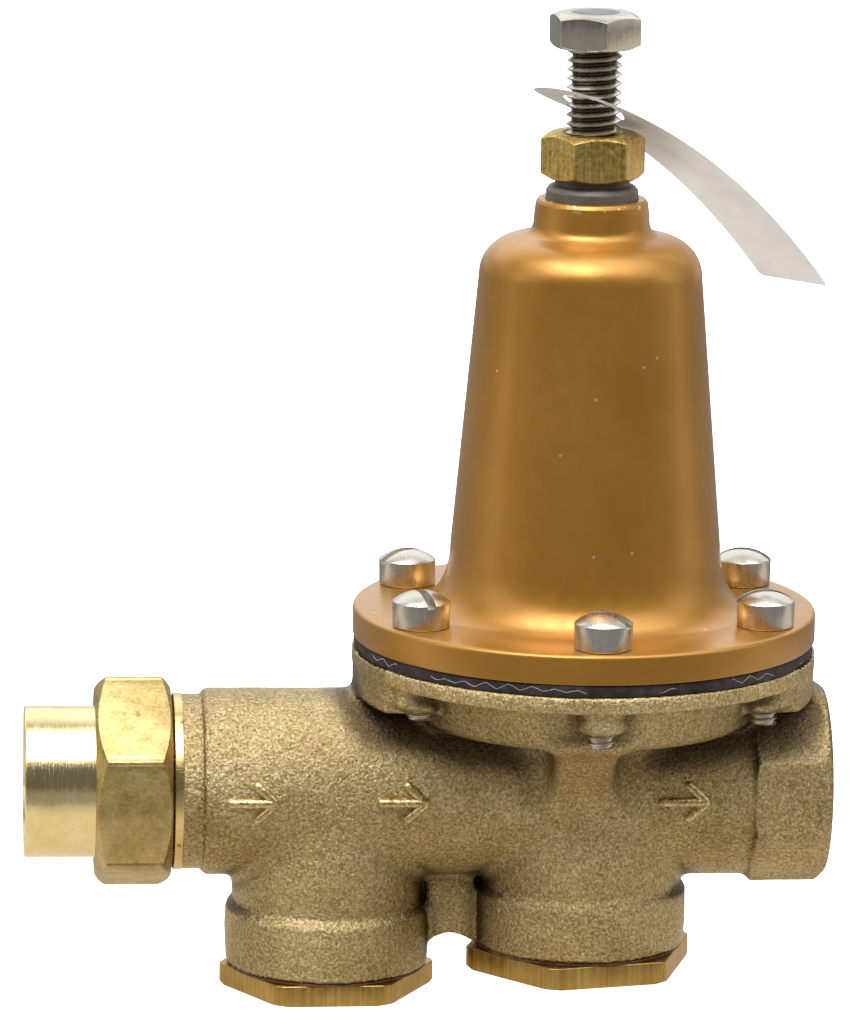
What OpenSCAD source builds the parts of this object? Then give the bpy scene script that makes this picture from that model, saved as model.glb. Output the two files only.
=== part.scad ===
// Direct-acting pressure reducing valve with a built-in strainer and a union inlet.
// Flow runs along +X. The origin is the centre of the outlet port's end face, +Z is up.

/* [Flow line] */
// Distance from the bonnet axis to the outlet's end face
outlet_reach = 42.9; // [42:0.1:44]
// Distance from the bonnet axis to the end of the inlet tailpiece
tail_reach = 97.9; // [97:0.1:99]
// Outer radius of the cast flow tube
tube_r = 16.45; // [16.2:0.05:16.7]
// Width across the flats of the octagonal outlet boss
outlet_af = 33.5; // [33:0.1:34]
// Wall radius of the outlet's pipe thread
outlet_thread_r = 12.4; // [12.2:0.05:12.6]
// Length of the outlet's pipe thread
outlet_thread_len = 14; // [13:0.5:15]
// Bore radius of the tailpiece's solder socket
socket_r = 11.17; // [11.1:0.01:11.2]
// Depth of the tailpiece's solder socket
socket_depth = 15.7; // [15:0.1:16]
// Width across the flats of the union nut
union_af = 33.8; // [33.4:0.1:34]

/* [Body] */
// Radius of the flange that carries the diaphragm
flange_r = 40.6; // [40.4:0.1:41]
// Height of the body flange's top face above the flow axis
flange_top = 24.2; // [24:0.1:24.4]
// Distance from the bonnet axis to the strainer chamber's axis
strainer_x = 44.5; // [44:0.1:44.7]
// Outer radius of the strainer chamber
strainer_r = 17.2; // [17:0.1:17.4]
// Depth of the strainer chamber's lower face below the flow axis
strainer_base = 32.3; // [32:0.1:32.6]
// Outer radius of the seat chamber
seat_chamber_r = 18.5; // [18.3:0.1:18.7]
// Depth of the seat chamber's lower face below the flow axis
seat_base = 28.6; // [28.4:0.1:28.8]
// Thread radius of both chamber plugs
plug_r = 14.2; // [14:0.1:14.3]

/* [Spring cage] */
// Height of the cage's neck above the flow axis
cage_top = 103.7; // [103:0.1:104]
// Thickness of the cage's bolt flange
cage_flange_h = 5.3; // [5:0.1:5.6]
// Thickness of the diaphragm
diaphragm_h = 2.2; // [2:0.1:2.4]
// Radius of the bolt circle
bolt_circle_r = 34.5; // [34.3:0.1:34.7]
// Number of cage screws
bolt_count = 6; // [6]

/* [Adjusting screw] */
// Thread radius of the adjusting screw
screw_r = 4.76; // [4.7:0.02:4.8]
// Width across the flats of the adjusting screw's head
screw_af = 14.29; // [14:0.05:14.5]
// Height of the head's underside above the flow axis
head_z = 130; // [129.5:0.5:131]
// Width across the flats of the lock nut
lock_nut_af = 15.88; // [15.6:0.05:16]
// Height of the lock nut's lower face above the flow axis
lock_nut_z = 107.2; // [107.1:0.1:107.3]
// Thickness of the lock nut
lock_nut_h = 8; // [7.8:0.1:8]

/* [Data tag] */
// Width of the tag's strip
tag_w = 17.2; // [16:0.1:18]
// Length of the tag beyond the screw
tag_len = 54; // [50:0.5:56]
// Thickness of the tag's strip
tag_t = 0.3; // [0.2:0.05:0.35]

/* [Hidden] */
$fn = 96;
fit = 0.05;                 // radial clearance of running fits
over = 1;                   // how far a cutting solid runs past a face

// Flow line, measured from the bonnet axis
union_nut_x = [-85.6, -72.3];
union_turn = 6.6;
nut_shoulder_x = -83.05;    // inner face of the union nut's collar
tail_flange_x = -83;        // back face of the tailpiece's collar
tail_seat_x = -80.2;        // sealing face of the tailpiece
spigot_x = -79;             // end face of the body's threaded spigot
spigot_r = 14.8;
spigot_ring_x = [-72, -70.2];
spigot_ring_r = 15.5;
tube_x = [-67, 28.5];
inlet_neck_r = 15.4;
inlet_neck_len = 3.4;
outlet_neck_r = 17;
boss_bevel = 1.9;
boss_x = [29.5, outlet_reach];
tail_r = 13.3;
tail_flange_r = 14.4;
port_r = 9.5;               // waterway through tailpiece and inlet neck
passage_r = 6;              // cast passages between the chambers
inlet_passage_z = 5.4;
transfer_r = 4.4;
transfer_z = -10.2;
outlet_passage_r = 6.6;
outlet_passage_z = 7.6;

// Chambers
chamber_r = 13.5;
strainer_collar_r = 18.05;
strainer_collar_z = -21.5;
seat_collar_r = 18.9;
seat_collar_z = -18.1;
ledge_z = [-4, -1];         // ring that the strainer screen passes through
screen_r = 9;
screen_pocket_z = 1.2;      // foot of the screen above the strainer plug's seat
seat_web_z = [-5.2, 0.4];   // wall between the high and low pressure sides
seat_thread_r = 8;
guide_floor_z = [14, 17];   // floor of the diaphragm bowl
guide_r = 6;
sense_r = 1.5;              // holes that let outlet pressure reach the diaphragm
sense_at = 9.2;
bowl_r = 26;
gasket_h = 0.5;
gasket_inset = 0.6;
plug_thread_h = 9;
stem_pocket_r = 5.2;        // tower in the bottom plug that guides the stem
web_t = 6;
// Chamber plugs: width across flats, radius that the corners are turned to, height and turn
strainer_hex = [33.4, 18.85, 3.75, 1.5];
bottom_hex = [36, 20.4, 4, 12.6];

// Bonnet
diaphragm_z = flange_top;
cage_z = flange_top + diaphragm_h;
flange_z = cage_z + cage_flange_h;
cage_flange_r = 40.5;
cavity_top = 93.5;
recess_r = 8.05;            // recess in the neck that holds the seal ring
recess_z = 101;
bolt_r = 2.4;
bolt_head_r = 5.05;
bolt_head_h = 4.45;
bolt_dome_h = 1.85;
bolt_slot_w = 1.6;
bolt_slot_z = 3.8;
bolt_end_z = 14.4;
boss_r = 4.2;               // lugs under the body flange, one at each screw
boss_end_z = 16.9;
skirt_z = [16.2, 17];       // lower face of the deep flange edge over the pipe and its bevel's top
skirt_bevel = 0.7;
skirt_half = 19;
rib_x = [-7, 4];            // rib from the front of the bowl down to the flow tube
rib_foot = [-15, -3];
rib_head = [-30, 13];
slot_turns = [55, 35, 135, 48, 54, 78];

// Stem and diaphragm pieces
stem_r = 2.4;
stem_z = [-26.5, 33.5];
plate_r = 21;
plate_h = 2;
washer_r = 20;
washer_h = 2;
small_nut_af = 8;
small_nut_h = 3;
seat_bore_r = 5.5;
seat_flange_r = 10;
seat_flange_z = -6.8;
seat_lip_z = -8.2;
lip_r = 6.4;
disc_z = [-13.4, -11.2];    // the seat disc hangs 3 mm below the lip when fully open
disc_r = 7.6;
holder_r = 9;
holder_z = -15.4;
holder_rim_z = -11.8;
disc_nut_z = holder_z - small_nut_h;

// Springs
main_wire_r = 2.2;
main_coil_r = 13;
main_turns = 7.5;
main_spring_z = [cage_z + plate_h, 84];
light_wire_r = 0.5;
light_coil_r = 6.4;
light_turns = 6;
light_spring_z = [-26.55, holder_z];
button_z = [84, 88];
button_r = 14;

// Adjusting screw and tag
screw_tip_z = 88;
head_h = 6.1;
head_turn = -21.6;
lock_nut_turn = 3.5;
seal_step_z = 105.9;
seal_lip_r = 6.5;
tag_hole_r = 5.3;
tag_tip = 10.5; // length of the tag behind the screw
tag_at = [-0.73, 0.48, 119.8]; // where the strip's middle line passes the screw
// Heading, downward slope and roll of the strip, in degrees: value at the screw, change per mm
// and change per square mm
tag_heading = [12.5, 0.413, 0];
tag_slope = [23, 0.779, -0.0057];
tag_roll = [12.2, -0.027, -0.0029];
tag_steps = 30;

bronze = [0.62, 0.52, 0.34];
brass = [0.8, 0.66, 0.32];
amber_brass = [0.66, 0.5, 0.2];
paint = [0.66, 0.45, 0.16];
steel = [0.75, 0.74, 0.71];
rubber = [0.1, 0.1, 0.11];
grey = [0.46, 0.42, 0.43];
aluminium = [0.86, 0.85, 0.83];

// Moves children, drawn about the bonnet axis, to the outlet's frame
module from_bonnet() { translate([-outlet_reach, 0, 0]) children(); }

// Turns a shape drawn along +Z so that it runs along +X from x0
module along_x(x0) { translate([x0, 0, 0]) rotate([0, 90, 0]) children(); }

// Cylinder along +X between two stations
module rod_x(span, r, z = 0) { translate([0, 0, z]) along_x(span[0]) cylinder(h = span[1] - span[0], r = r); }

// Upright cylinder between two heights
module rod_z(span, r) { translate([0, 0, span[0]]) cylinder(h = span[1] - span[0], r = r); }

// Upright ring between two heights
module ring_z(span, outer, inner) {
    difference() {
        rod_z(span, outer);
        rod_z([span[0] - over, span[1] + over], inner);
    }
}

// Repeats children at every cage screw
module at_bolts() {
    for (i = [0 : bolt_count - 1])
        rotate(bolt_turn(i)) translate([bolt_circle_r, 0, 0]) children();
}
function bolt_turn(i) = i * 360 / bolt_count - 90;

// Points on an elliptical arc
function arc(centre, radii, from, to, n) =
    [for (i = [0 : n]) let(a = from + (to - from) * i / n) centre + [radii[0] * cos(a), radii[1] * sin(a)]];

// Hexagonal bar with its corners turned off at both ends
module hex_bar(af, h, bottom_bevel, top_bevel) {
    corner = af / 2 / cos(30);
    flat = af / 2 - 0.2;
    intersection() {
        cylinder(h = h, r = corner, $fn = 6);
        rotate_extrude() polygon([[0, 0], [flat, 0], [corner + 0.1, bottom_bevel],
            [corner + 0.1, h - top_bevel], [flat, h], [0, h]]);
    }
}

// Wire wound as an open spring along +Z: rings of points swept along a helix
module coil(span, coil_r, wire_r, turns) {
    sides = 8;
    per_turn = 20;
    rings = turns * per_turn;
    lift = span[1] - span[0] - 2 * wire_r;
    points = [for (i = [0 : rings]) for (k = [0 : sides - 1])
        let(a = i * 360 / per_turn, b = k * 360 / sides, r = coil_r + wire_r * cos(b))
        [r * cos(a), r * sin(a), span[0] + wire_r + lift * i / rings + wire_r * sin(b)]];
    walls = [for (i = [0 : rings - 1]) for (k = [0 : sides - 1])
        let(n = (k + 1) % sides) [i * sides + k, (i + 1) * sides + k, (i + 1) * sides + n, i * sides + n]];
    ends = [[for (k = [0 : sides - 1]) k], [for (k = [sides - 1 : -1 : 0]) rings * sides + k]];
    polyhedron(points, concat(walls, ends), convexity = 10);
}

// Body: outline of the upper flange and the bowl under it, turned about the bonnet axis
module flange_and_bowl() {
    rotate_extrude() polygon(concat([[0, 9], [22, 12], [30.4, 12.4], [31.6, 13.6], [33, 16], [35.4, 18.6]],
        [[39.4, 20.4], [40.3, 21.2], [flange_r, 22.2], [flange_r, flange_top], [0, flange_top]]));
}

// Deep edge of the body flange over the pipe, at the inlet and outlet ends
module flange_skirts() {
    intersection() {
        rotate_extrude() polygon([[0, skirt_z[0]], [flange_r - skirt_bevel, skirt_z[0]],
            [flange_r, skirt_z[1]], [flange_r, flange_top], [0, flange_top]]);
        translate([-flange_r, -skirt_half, 0]) cube([2 * flange_r, 2 * skirt_half, flange_top]);
    }
}

// Rib at the front, between the flow tube and the bowl
module front_rib() {
    translate([rib_x[0], 0, 0]) rotate([90, 0, 90]) linear_extrude(rib_x[1] - rib_x[0])
        polygon([[rib_foot[0], rib_foot[1]], rib_head, [rib_foot[0], rib_head[1]]]);
}

// Raised arrow that shows the direction of flow on the front of the flow tube
module flow_mark(x) {
    translate([x, -tube_r + 1, 0]) rotate([90, 0, 0]) linear_extrude(1.6)
        polygon([[-4, -0.8], [0.5, -0.8], [0.5, -2.4], [4, 0], [0.5, 2.4], [0.5, 0.8], [-4, 0.8]]);
}

module body_solid() {
    rod_x(tube_x, tube_r);
    rod_x([tube_x[0] - inlet_neck_len, tube_x[0] + over], inlet_neck_r);
    rod_x(spigot_ring_x, spigot_ring_r);
    rod_x([spigot_x, spigot_ring_x[1]], spigot_r);
    rod_x([0, boss_x[0] + over], outlet_neck_r);
    outlet_boss();
    flange_and_bowl();
    flange_skirts();
    front_rib();
    at_bolts() rod_z([boss_end_z, 22], boss_r);
    rod_z([-seat_base, flange_top - over], seat_chamber_r);
    rod_z([-seat_base, seat_collar_z], seat_collar_r);
    translate([-strainer_x, 0, 0]) {
        rod_z([-strainer_base, 0], strainer_r);
        rod_z([-strainer_base, strainer_collar_z], strainer_collar_r);
    }
    chamber_web();
    for (x = [-58, -32, 17]) flow_mark(x);
}

// Octagonal boss with a turned chamfer at its end
module outlet_boss() {
    corner = outlet_af / 2 / cos(22.5);
    boss_len = boss_x[1] - boss_x[0];
    intersection() {
        along_x(boss_x[0]) rotate(22.5) cylinder(h = boss_len, r = corner, $fn = 8);
        along_x(boss_x[0]) rotate_extrude() polygon([[0, 0], [corner + 0.1, 0],
            [corner + 0.1, boss_len - boss_bevel], [outlet_af / 2 - 0.5, boss_len], [0, boss_len]]);
    }
}

// Thin wall between the two chambers, with an arch under it. It ends above both chambers' seats
module chamber_web() {
    arch_x = -23;
    arch_z = -strainer_base;
    arch_r = 5.5;
    half = 7;
    top = -14;
    left_end = arch_z + 1;
    right_end = -seat_base + 0.3;
    translate([arch_x, web_t / 2, 0]) rotate([90, 0, 0]) linear_extrude(web_t) difference() {
        polygon([[-half, top], [-half, left_end], [0, left_end], [0, right_end], [half, right_end],
            [half, top]]);
        translate([0, arch_z]) circle(arch_r);
    }
}

module body_waterways() {
    rod_x([spigot_x - over, -66], port_r);
    rod_x([-67, -strainer_x], passage_r, inlet_passage_z);
    translate([-strainer_x, 0, 0]) {
        rod_z([ledge_z[1], 10.5], 12);
        rod_z([ledge_z[0] - over, ledge_z[1] + over], screen_r + fit);
        rod_z([-strainer_base + plug_thread_h, ledge_z[0]], chamber_r);
        rod_z([-strainer_base - over, -strainer_base + plug_thread_h + over], plug_r + fit);
    }
    rod_x([-strainer_x + 8, -8], transfer_r, transfer_z);
    rod_z([-seat_base + plug_thread_h, seat_web_z[0]], chamber_r);
    rod_z([-seat_base - over, -seat_base + plug_thread_h + over], plug_r + fit);
    rod_z([seat_web_z[0] - over, seat_web_z[1] + over], seat_thread_r + fit);
    rod_z([seat_web_z[1], guide_floor_z[0]], 12);
    rod_x([4, 25], outlet_passage_r, outlet_passage_z);
    rod_x([22, outlet_reach - outlet_thread_len + over], 11);
    rod_x([outlet_reach - outlet_thread_len, outlet_reach + over], outlet_thread_r);
    rod_z([guide_floor_z[1], flange_top + over], bowl_r);
    rod_z([guide_floor_z[0] - over, guide_floor_z[1] + over], guide_r);
    for (side = [-1, 1]) translate([0, side * sense_at, 0])
        rod_z([guide_floor_z[0] - over, guide_floor_z[1] + over], sense_r);
    at_bolts() rod_z([bolt_end_z - over, flange_top + over], bolt_r + fit);
}

module valve_body() {
    color(bronze) from_bonnet() difference() {
        body_solid();
        body_waterways();
    }
}

// Cage: bolt flange, flared foot, bell, rounded shoulder and neck
module spring_cage() {
    outside = concat([[0, cage_z], [cage_flange_r, cage_z], [cage_flange_r, flange_z - 0.8]],
        [[cage_flange_r - 0.7, flange_z]],
        arc([29.8, 42.5], [6.2, 42.5 - flange_z], 270, 180, 8),
        arc([12.6, 90.2], [6.8, 6.8], 0, 82, 7),
        arc([12.3, 99.5], [2.2, 2.2], 262, 185, 4),
        [[9.95, 101.2], [9.75, 103], [9.35, cage_top], [0, cage_top]]);
    inside = [[0, cage_z - over], [27, cage_z - over], [27, 28], [24.5, 32], [21.3, 37], [20.4, 43],
        [16.6, 88], [13, cavity_top], [0, cavity_top]];
    color(paint) from_bonnet() difference() {
        rotate_extrude() polygon(outside);
        rotate_extrude() polygon(inside);
        rod_z([cavity_top - over, cage_top], screw_r + fit);
        rod_z([recess_z, cage_top + over], recess_r);
        at_bolts() rod_z([cage_z - over, flange_z + over], bolt_r + 0.2);
    }
}

// Slotted fillister-head screw, its head seated at z = 0
module fillister_screw(slot_turn) {
    dome = (pow(bolt_head_r, 2) + pow(bolt_dome_h, 2)) / (2 * bolt_dome_h);
    span = asin(bolt_head_r / dome);
    difference() {
        union() {
            rotate_extrude() polygon(concat([[0, 0], [bolt_head_r, 0]],
                arc([0, bolt_head_h + bolt_dome_h - dome], [dome, dome], 90 - span, 90, 6)));
            rod_z([bolt_end_z - flange_z, over / 2], bolt_r);
        }
        rotate(slot_turn) translate([-bolt_head_r - over, -bolt_slot_w / 2, bolt_slot_z])
            cube([2 * (bolt_head_r + over), bolt_slot_w, bolt_head_h]);
    }
}

module cage_screws() {
    color(steel) from_bonnet() for (i = [0 : bolt_count - 1])
        rotate(bolt_turn(i)) translate([bolt_circle_r, 0, flange_z]) fillister_screw(slot_turns[i]);
}

module diaphragm() {
    color(rubber) from_bonnet() difference() {
        rod_z([diaphragm_z, cage_z], flange_r);
        rod_z([diaphragm_z - over, cage_z + over], stem_r + fit);
        at_bolts() rod_z([diaphragm_z - over, cage_z + over], bolt_r + 0.2);
    }
}

module diaphragm_plate() {
    color(steel) from_bonnet() ring_z([cage_z, cage_z + plate_h], plate_r, stem_r + fit);
}

module diaphragm_washer() {
    color(steel) from_bonnet() ring_z([diaphragm_z - washer_h, diaphragm_z], washer_r, stem_r + fit);
}

// Small hex nut on the stem
module stem_nut(z) {
    from_bonnet() translate([0, 0, z]) difference() {
        hex_bar(small_nut_af, small_nut_h, 0.3, 0.3);
        rod_z([-over, small_nut_h + over], stem_r + fit);
    }
}

module diaphragm_nut() { color(brass) stem_nut(cage_z + plate_h); }

module disc_nut() { color(brass) stem_nut(disc_nut_z); }

module valve_stem() {
    color(steel) from_bonnet() rod_z(stem_z, stem_r);
}

module stem_guide() {
    color(brass) from_bonnet() difference() {
        union() {
            rod_z([guide_floor_z[0] - 1.5, guide_floor_z[1]], guide_r);
            rod_z([guide_floor_z[1], guide_floor_z[1] + 1], guide_r + 1.2);
        }
        rod_z([guide_floor_z[0] - 3, guide_floor_z[1] + 3], stem_r + fit);
    }
}

module valve_seat() {
    color(steel) from_bonnet() difference() {
        union() {
            rod_z([seat_web_z[0], seat_web_z[1] + 0.6], seat_thread_r);
            rod_z([seat_flange_z, seat_web_z[0]], seat_flange_r);
            rod_z([seat_lip_z, seat_flange_z], lip_r);
        }
        rod_z([seat_lip_z - over, seat_web_z[1] + 2], seat_bore_r);
    }
}

module disc_holder() {
    color(brass) from_bonnet() difference() {
        rod_z([holder_z, holder_rim_z], holder_r);
        rod_z([disc_z[0], holder_rim_z + over], disc_r + fit);
        rod_z([holder_z - over, 0], stem_r + fit);
    }
}

module seat_disc() {
    color(rubber) from_bonnet() ring_z(disc_z, disc_r, stem_r + fit);
}

module disc_spring() {
    color(steel) from_bonnet() coil(light_spring_z, light_coil_r, light_wire_r, light_turns);
}

// Hexagonal plug with a thread that goes up into a chamber, drawn with its seat at z = 0
module chamber_plug(hex) {
    af = hex[0];
    round_r = hex[1];
    h = hex[2];
    flat = af / 2 - 0.2;
    intersection() {
        rotate(hex[3]) translate([0, 0, -h]) cylinder(h = h, r = af / 2 / cos(30), $fn = 6);
        rotate_extrude() polygon([[0, -h], [flat, -h], [round_r, 0.5 - h], [round_r, -0.6],
            [flat, 0], [0, 0]]);
    }
    rod_z([-0.5, plug_thread_h - 1], plug_r);
}

module bottom_plug() {
    floor_z = 2.5;
    tower_z = 4.4;
    color(amber_brass) from_bonnet() translate([0, 0, -seat_base - gasket_h]) difference() {
        chamber_plug(bottom_hex);
        difference() {
            rod_z([floor_z, plug_thread_h], plug_r - 3);
            rod_z([floor_z - over, tower_z], stem_pocket_r);
        }
        rod_z([0, plug_thread_h], stem_r + fit);
    }
}

module bottom_plug_gasket() {
    color(rubber) from_bonnet()
        ring_z([-seat_base - gasket_h, -seat_base], seat_collar_r - gasket_inset, plug_r + fit);
}

module strainer_plug() {
    color(amber_brass) from_bonnet() translate([-strainer_x, 0, -strainer_base - gasket_h]) difference() {
        chamber_plug(strainer_hex);
        rod_z([screen_pocket_z, plug_thread_h], screen_r + fit);
    }
}

module strainer_plug_gasket() {
    color(rubber) from_bonnet() translate([-strainer_x, 0, 0])
        ring_z([-strainer_base - gasket_h, -strainer_base], strainer_collar_r - gasket_inset, plug_r + fit);
}

// Perforated tube that stands in the strainer plug
module strainer_screen() {
    foot_z = -strainer_base - gasket_h + screen_pocket_z;
    top_z = ledge_z[1] - 0.6;
    wall = 0.6;
    window = [1.8, 4.4];
    window_z = -23;
    row_pitch = 6;
    color(steel) from_bonnet() translate([-strainer_x, 0, 0]) difference() {
        ring_z([foot_z, top_z], screen_r, screen_r - wall);
        for (row = [0 : 2], turn = [0 : 30 : 150])
            rotate(turn + row * 15) translate([-screen_r - over, -window[0] / 2, window_z + row * row_pitch])
                cube([2 * (screen_r + over), window[0], window[1]]);
    }
}

module main_spring() {
    color(steel) from_bonnet() coil(main_spring_z, main_coil_r, main_wire_r, main_turns);
}

module spring_button() {
    color(steel) from_bonnet() difference() {
        union() {
            rod_z(button_z, button_r);
            rod_z([button_z[0] - 4, button_z[0] + over], main_coil_r - main_wire_r - 0.6);
        }
        translate([0, 0, button_z[0] - 5]) cylinder(h = 3.5, r = 6);
    }
}

module adjusting_screw() {
    corner = screw_af / 2 / cos(30);
    color(steel) from_bonnet() {
        rotate_extrude() polygon([[0, screw_tip_z], [screw_r - 1, screw_tip_z], [screw_r, screw_tip_z + 1],
            [screw_r, head_z + over], [0, head_z + over]]);
        translate([0, 0, head_z]) rotate(head_turn) hex_bar(screw_af, head_h, 0.2, 1.2);
    }
}

module seal_ring() {
    seal_r = recess_r - fit;
    color(grey) from_bonnet() difference() {
        rotate_extrude() polygon([[0, recess_z], [seal_r, recess_z], [seal_r, seal_step_z - 0.5],
            [seal_r - 0.5, seal_step_z], [seal_lip_r, seal_step_z + 0.4], [seal_lip_r, lock_nut_z],
            [0, lock_nut_z]]);
        rod_z([recess_z - over, lock_nut_z + over], screw_r + fit);
    }
}

module lock_nut() {
    color(brass) from_bonnet() translate([0, 0, lock_nut_z]) difference() {
        rotate(lock_nut_turn) hex_bar(lock_nut_af, lock_nut_h, 0.9, 0.9);
        rod_z([-over, lock_nut_h + over], screw_r + fit);
    }
}

// Middle line of the tag, followed from the screw by its heading and slope
function tag_step() = (tag_len + tag_tip) / tag_steps;
function tag_s(i) = -tag_tip + i * tag_step();
function tag_turn(c, s) = c[0] + c[1] * s + c[2] * s * s;
function tag_along(s) = let(h = tag_turn(tag_heading, s), d = tag_turn(tag_slope, s))
    [cos(d) * cos(h), cos(d) * sin(h), -sin(d)];
function tag_across(s) = let(h = tag_turn(tag_heading, s), r = tag_turn(tag_roll, s),
    level = [-sin(h), cos(h), 0]) level * cos(r) - cross(tag_along(s), level) * sin(r);
function tag_point(s) = tag_at + tag_sum([for (k = [0 : 19]) tag_along(s * (k + 0.5) / 20) * s / 20]);
function tag_sum(v, i = 0) = i < len(v) - 1 ? v[i] + tag_sum(v, i + 1) : v[i];
function tag_half(s) = let(back = tag_tip + s - tag_w / 2)
    back >= 0 ? tag_w / 2 : sqrt(max(0.25, pow(tag_w / 2, 2) - back * back));

// Corners of the strip's section at one station
function tag_row(s) = let(c = tag_point(s), w = tag_across(s) * tag_half(s),
    up = cross(tag_along(s), tag_across(s)) * tag_t) [c - w, c + w, c + w + up, c - w + up];

module data_tag() {
    points = [for (i = [0 : tag_steps]) each tag_row(tag_s(i))];
    walls = [for (i = [0 : tag_steps - 1]) for (k = [0 : 3])
        let(n = (k + 1) % 4) [i * 4 + k, (i + 1) * 4 + k, (i + 1) * 4 + n, i * 4 + n]];
    ends = [[0, 1, 2, 3], [for (k = [3 : -1 : 0]) tag_steps * 4 + k]];
    color(aluminium) from_bonnet() difference() {
        polyhedron(points, concat(walls, ends), convexity = 6);
        rod_z([lock_nut_z, head_z], tag_hole_r);
    }
}

module inlet_tailpiece() {
    color(brass) from_bonnet() difference() {
        union() {
            rod_x([-tail_reach, tail_seat_x], tail_r);
            rod_x([tail_flange_x, tail_seat_x], tail_flange_r);
        }
        rod_x([-tail_reach - over, -tail_reach + socket_depth], socket_r);
        rod_x([-tail_reach, tail_seat_x + over], port_r);
    }
}

module union_nut() {
    nut_len = union_nut_x[1] - union_nut_x[0];
    color(brass) from_bonnet() difference() {
        along_x(union_nut_x[0]) rotate(union_turn) hex_bar(union_af, nut_len, 1.4, 1.4);
        rod_x([nut_shoulder_x, union_nut_x[1] + over], spigot_r + fit);
        rod_x([union_nut_x[0] - over, union_nut_x[1]], tail_r + fit);
    }
}

module union_gasket() {
    color(rubber) from_bonnet() difference() {
        rod_x([tail_seat_x, spigot_x], 14);
        rod_x([tail_seat_x - over, spigot_x + over], port_r + 0.5);
    }
}

valve_body();
spring_cage();
cage_screws();
diaphragm();
diaphragm_plate();
diaphragm_washer();
diaphragm_nut();
valve_stem();
stem_guide();
valve_seat();
disc_holder();
seat_disc();
disc_nut();
disc_spring();
bottom_plug();
bottom_plug_gasket();
strainer_plug();
strainer_plug_gasket();
strainer_screen();
main_spring();
spring_button();
adjusting_screw();
seal_ring();
lock_nut();
data_tag();
inlet_tailpiece();
union_nut();
union_gasket();
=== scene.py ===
import math

import bmesh
import bpy
import numpy as np
from mathutils import Matrix, Vector


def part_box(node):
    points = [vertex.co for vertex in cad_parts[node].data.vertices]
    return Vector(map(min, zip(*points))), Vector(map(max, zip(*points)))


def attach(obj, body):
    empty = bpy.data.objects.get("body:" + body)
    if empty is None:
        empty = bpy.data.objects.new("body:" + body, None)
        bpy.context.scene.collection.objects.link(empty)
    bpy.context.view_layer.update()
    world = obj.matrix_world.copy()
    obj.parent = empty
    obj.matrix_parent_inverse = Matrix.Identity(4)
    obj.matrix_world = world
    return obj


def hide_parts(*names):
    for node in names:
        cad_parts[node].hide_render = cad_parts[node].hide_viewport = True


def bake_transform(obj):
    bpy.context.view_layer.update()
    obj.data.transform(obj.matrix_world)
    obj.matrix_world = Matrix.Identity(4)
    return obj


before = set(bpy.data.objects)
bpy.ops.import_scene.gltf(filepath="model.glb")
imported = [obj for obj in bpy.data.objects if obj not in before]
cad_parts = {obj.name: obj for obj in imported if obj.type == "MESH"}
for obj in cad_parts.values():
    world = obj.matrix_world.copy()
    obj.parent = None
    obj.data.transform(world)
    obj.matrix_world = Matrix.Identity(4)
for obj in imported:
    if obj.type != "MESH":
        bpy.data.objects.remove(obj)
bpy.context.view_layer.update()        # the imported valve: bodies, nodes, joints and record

# Shapes are drawn in millimetres about the bonnet's axis (X along the flow, Z up, z = 0 on the
# flow's axis), and place() moves them to the row's frame, in metres.
MM = 0.001
AXIS_X = (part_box("spring_cage")[0].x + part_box("spring_cage")[1].x) / 2 / MM


def edge(node, axis, end):
    """Lowest (end 0) or highest (end 1) coordinate of a CAD node along an axis, in mm."""
    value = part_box(node)[end]["xyz".index(axis)] / MM
    return value - AXIS_X if axis == "x" else value


def span_of(node, axis):
    return [edge(node, axis, end) for end in (0, 1)]


# Places read from the CAD model
SPIGOT_X, OUTLET_X = span_of("valve_body", "x")
STRAINER_BASE = edge("valve_body", "z", 0)
FLANGE_R = edge("valve_body", "y", 1) - 0.04
FLANGE_TOP = edge("diaphragm", "z", 0)
CAGE_Z, CAGE_TOP = span_of("spring_cage", "z")
CAGE_R = edge("spring_cage", "y", 1)
STRAINER_X = sum(span_of("strainer_plug_gasket", "x")) / 2
SEAT_BASE = edge("bottom_plug_gasket", "z", 1)
GASKET_H = SEAT_BASE - edge("bottom_plug_gasket", "z", 0)
SCREW_TIP, HEAD_TOP = span_of("adjusting_screw", "z")
NUT_Z = span_of("lock_nut", "z")
SEAL_Z = edge("seal_ring", "z", 0)
UNION_X = span_of("union_nut", "x")
TAIL_X = span_of("inlet_tailpiece", "x")
SPRING_Z = span_of("main_spring", "z")
DISC_SPRING_Z = span_of("disc_spring", "z")

# Sizes that the boxes don't give
TUBE_R = 16.45
TUBE_X = [-67, 28.5]
BOLT_CIRCLE_R = 34.5
BOLT_ANGLES = [math.radians(a) for a in range(-90, 270, 60)]
CAGE_FLANGE_Z = CAGE_Z + 5.3
LUG_END_Z = 16.9
SHANK_END_Z = 14.4
SCREW_R = 4.76
SCREW_PITCH = 1.5875
HEAD_Z = 130.0
HEAD_TURN = -21.6
LOCK_NUT_TURN = 3.5
UNION_TURN = 6.6
SPIGOT_R = 14.8
PORT_R = 9.5
CHAMBER_R = 13.5
PLUG_R = 14.2
PLUG_BORE_H = 9
PLUG_TRAVEL = 10
SEAL_STEP_Z = 105.9
FLEX_R = [edge("diaphragm_plate", "y", 1) + 0.3, 25.9]
FLEX_SECTORS = 12


# ---------------------------------------------------------------- mesh helpers

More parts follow.
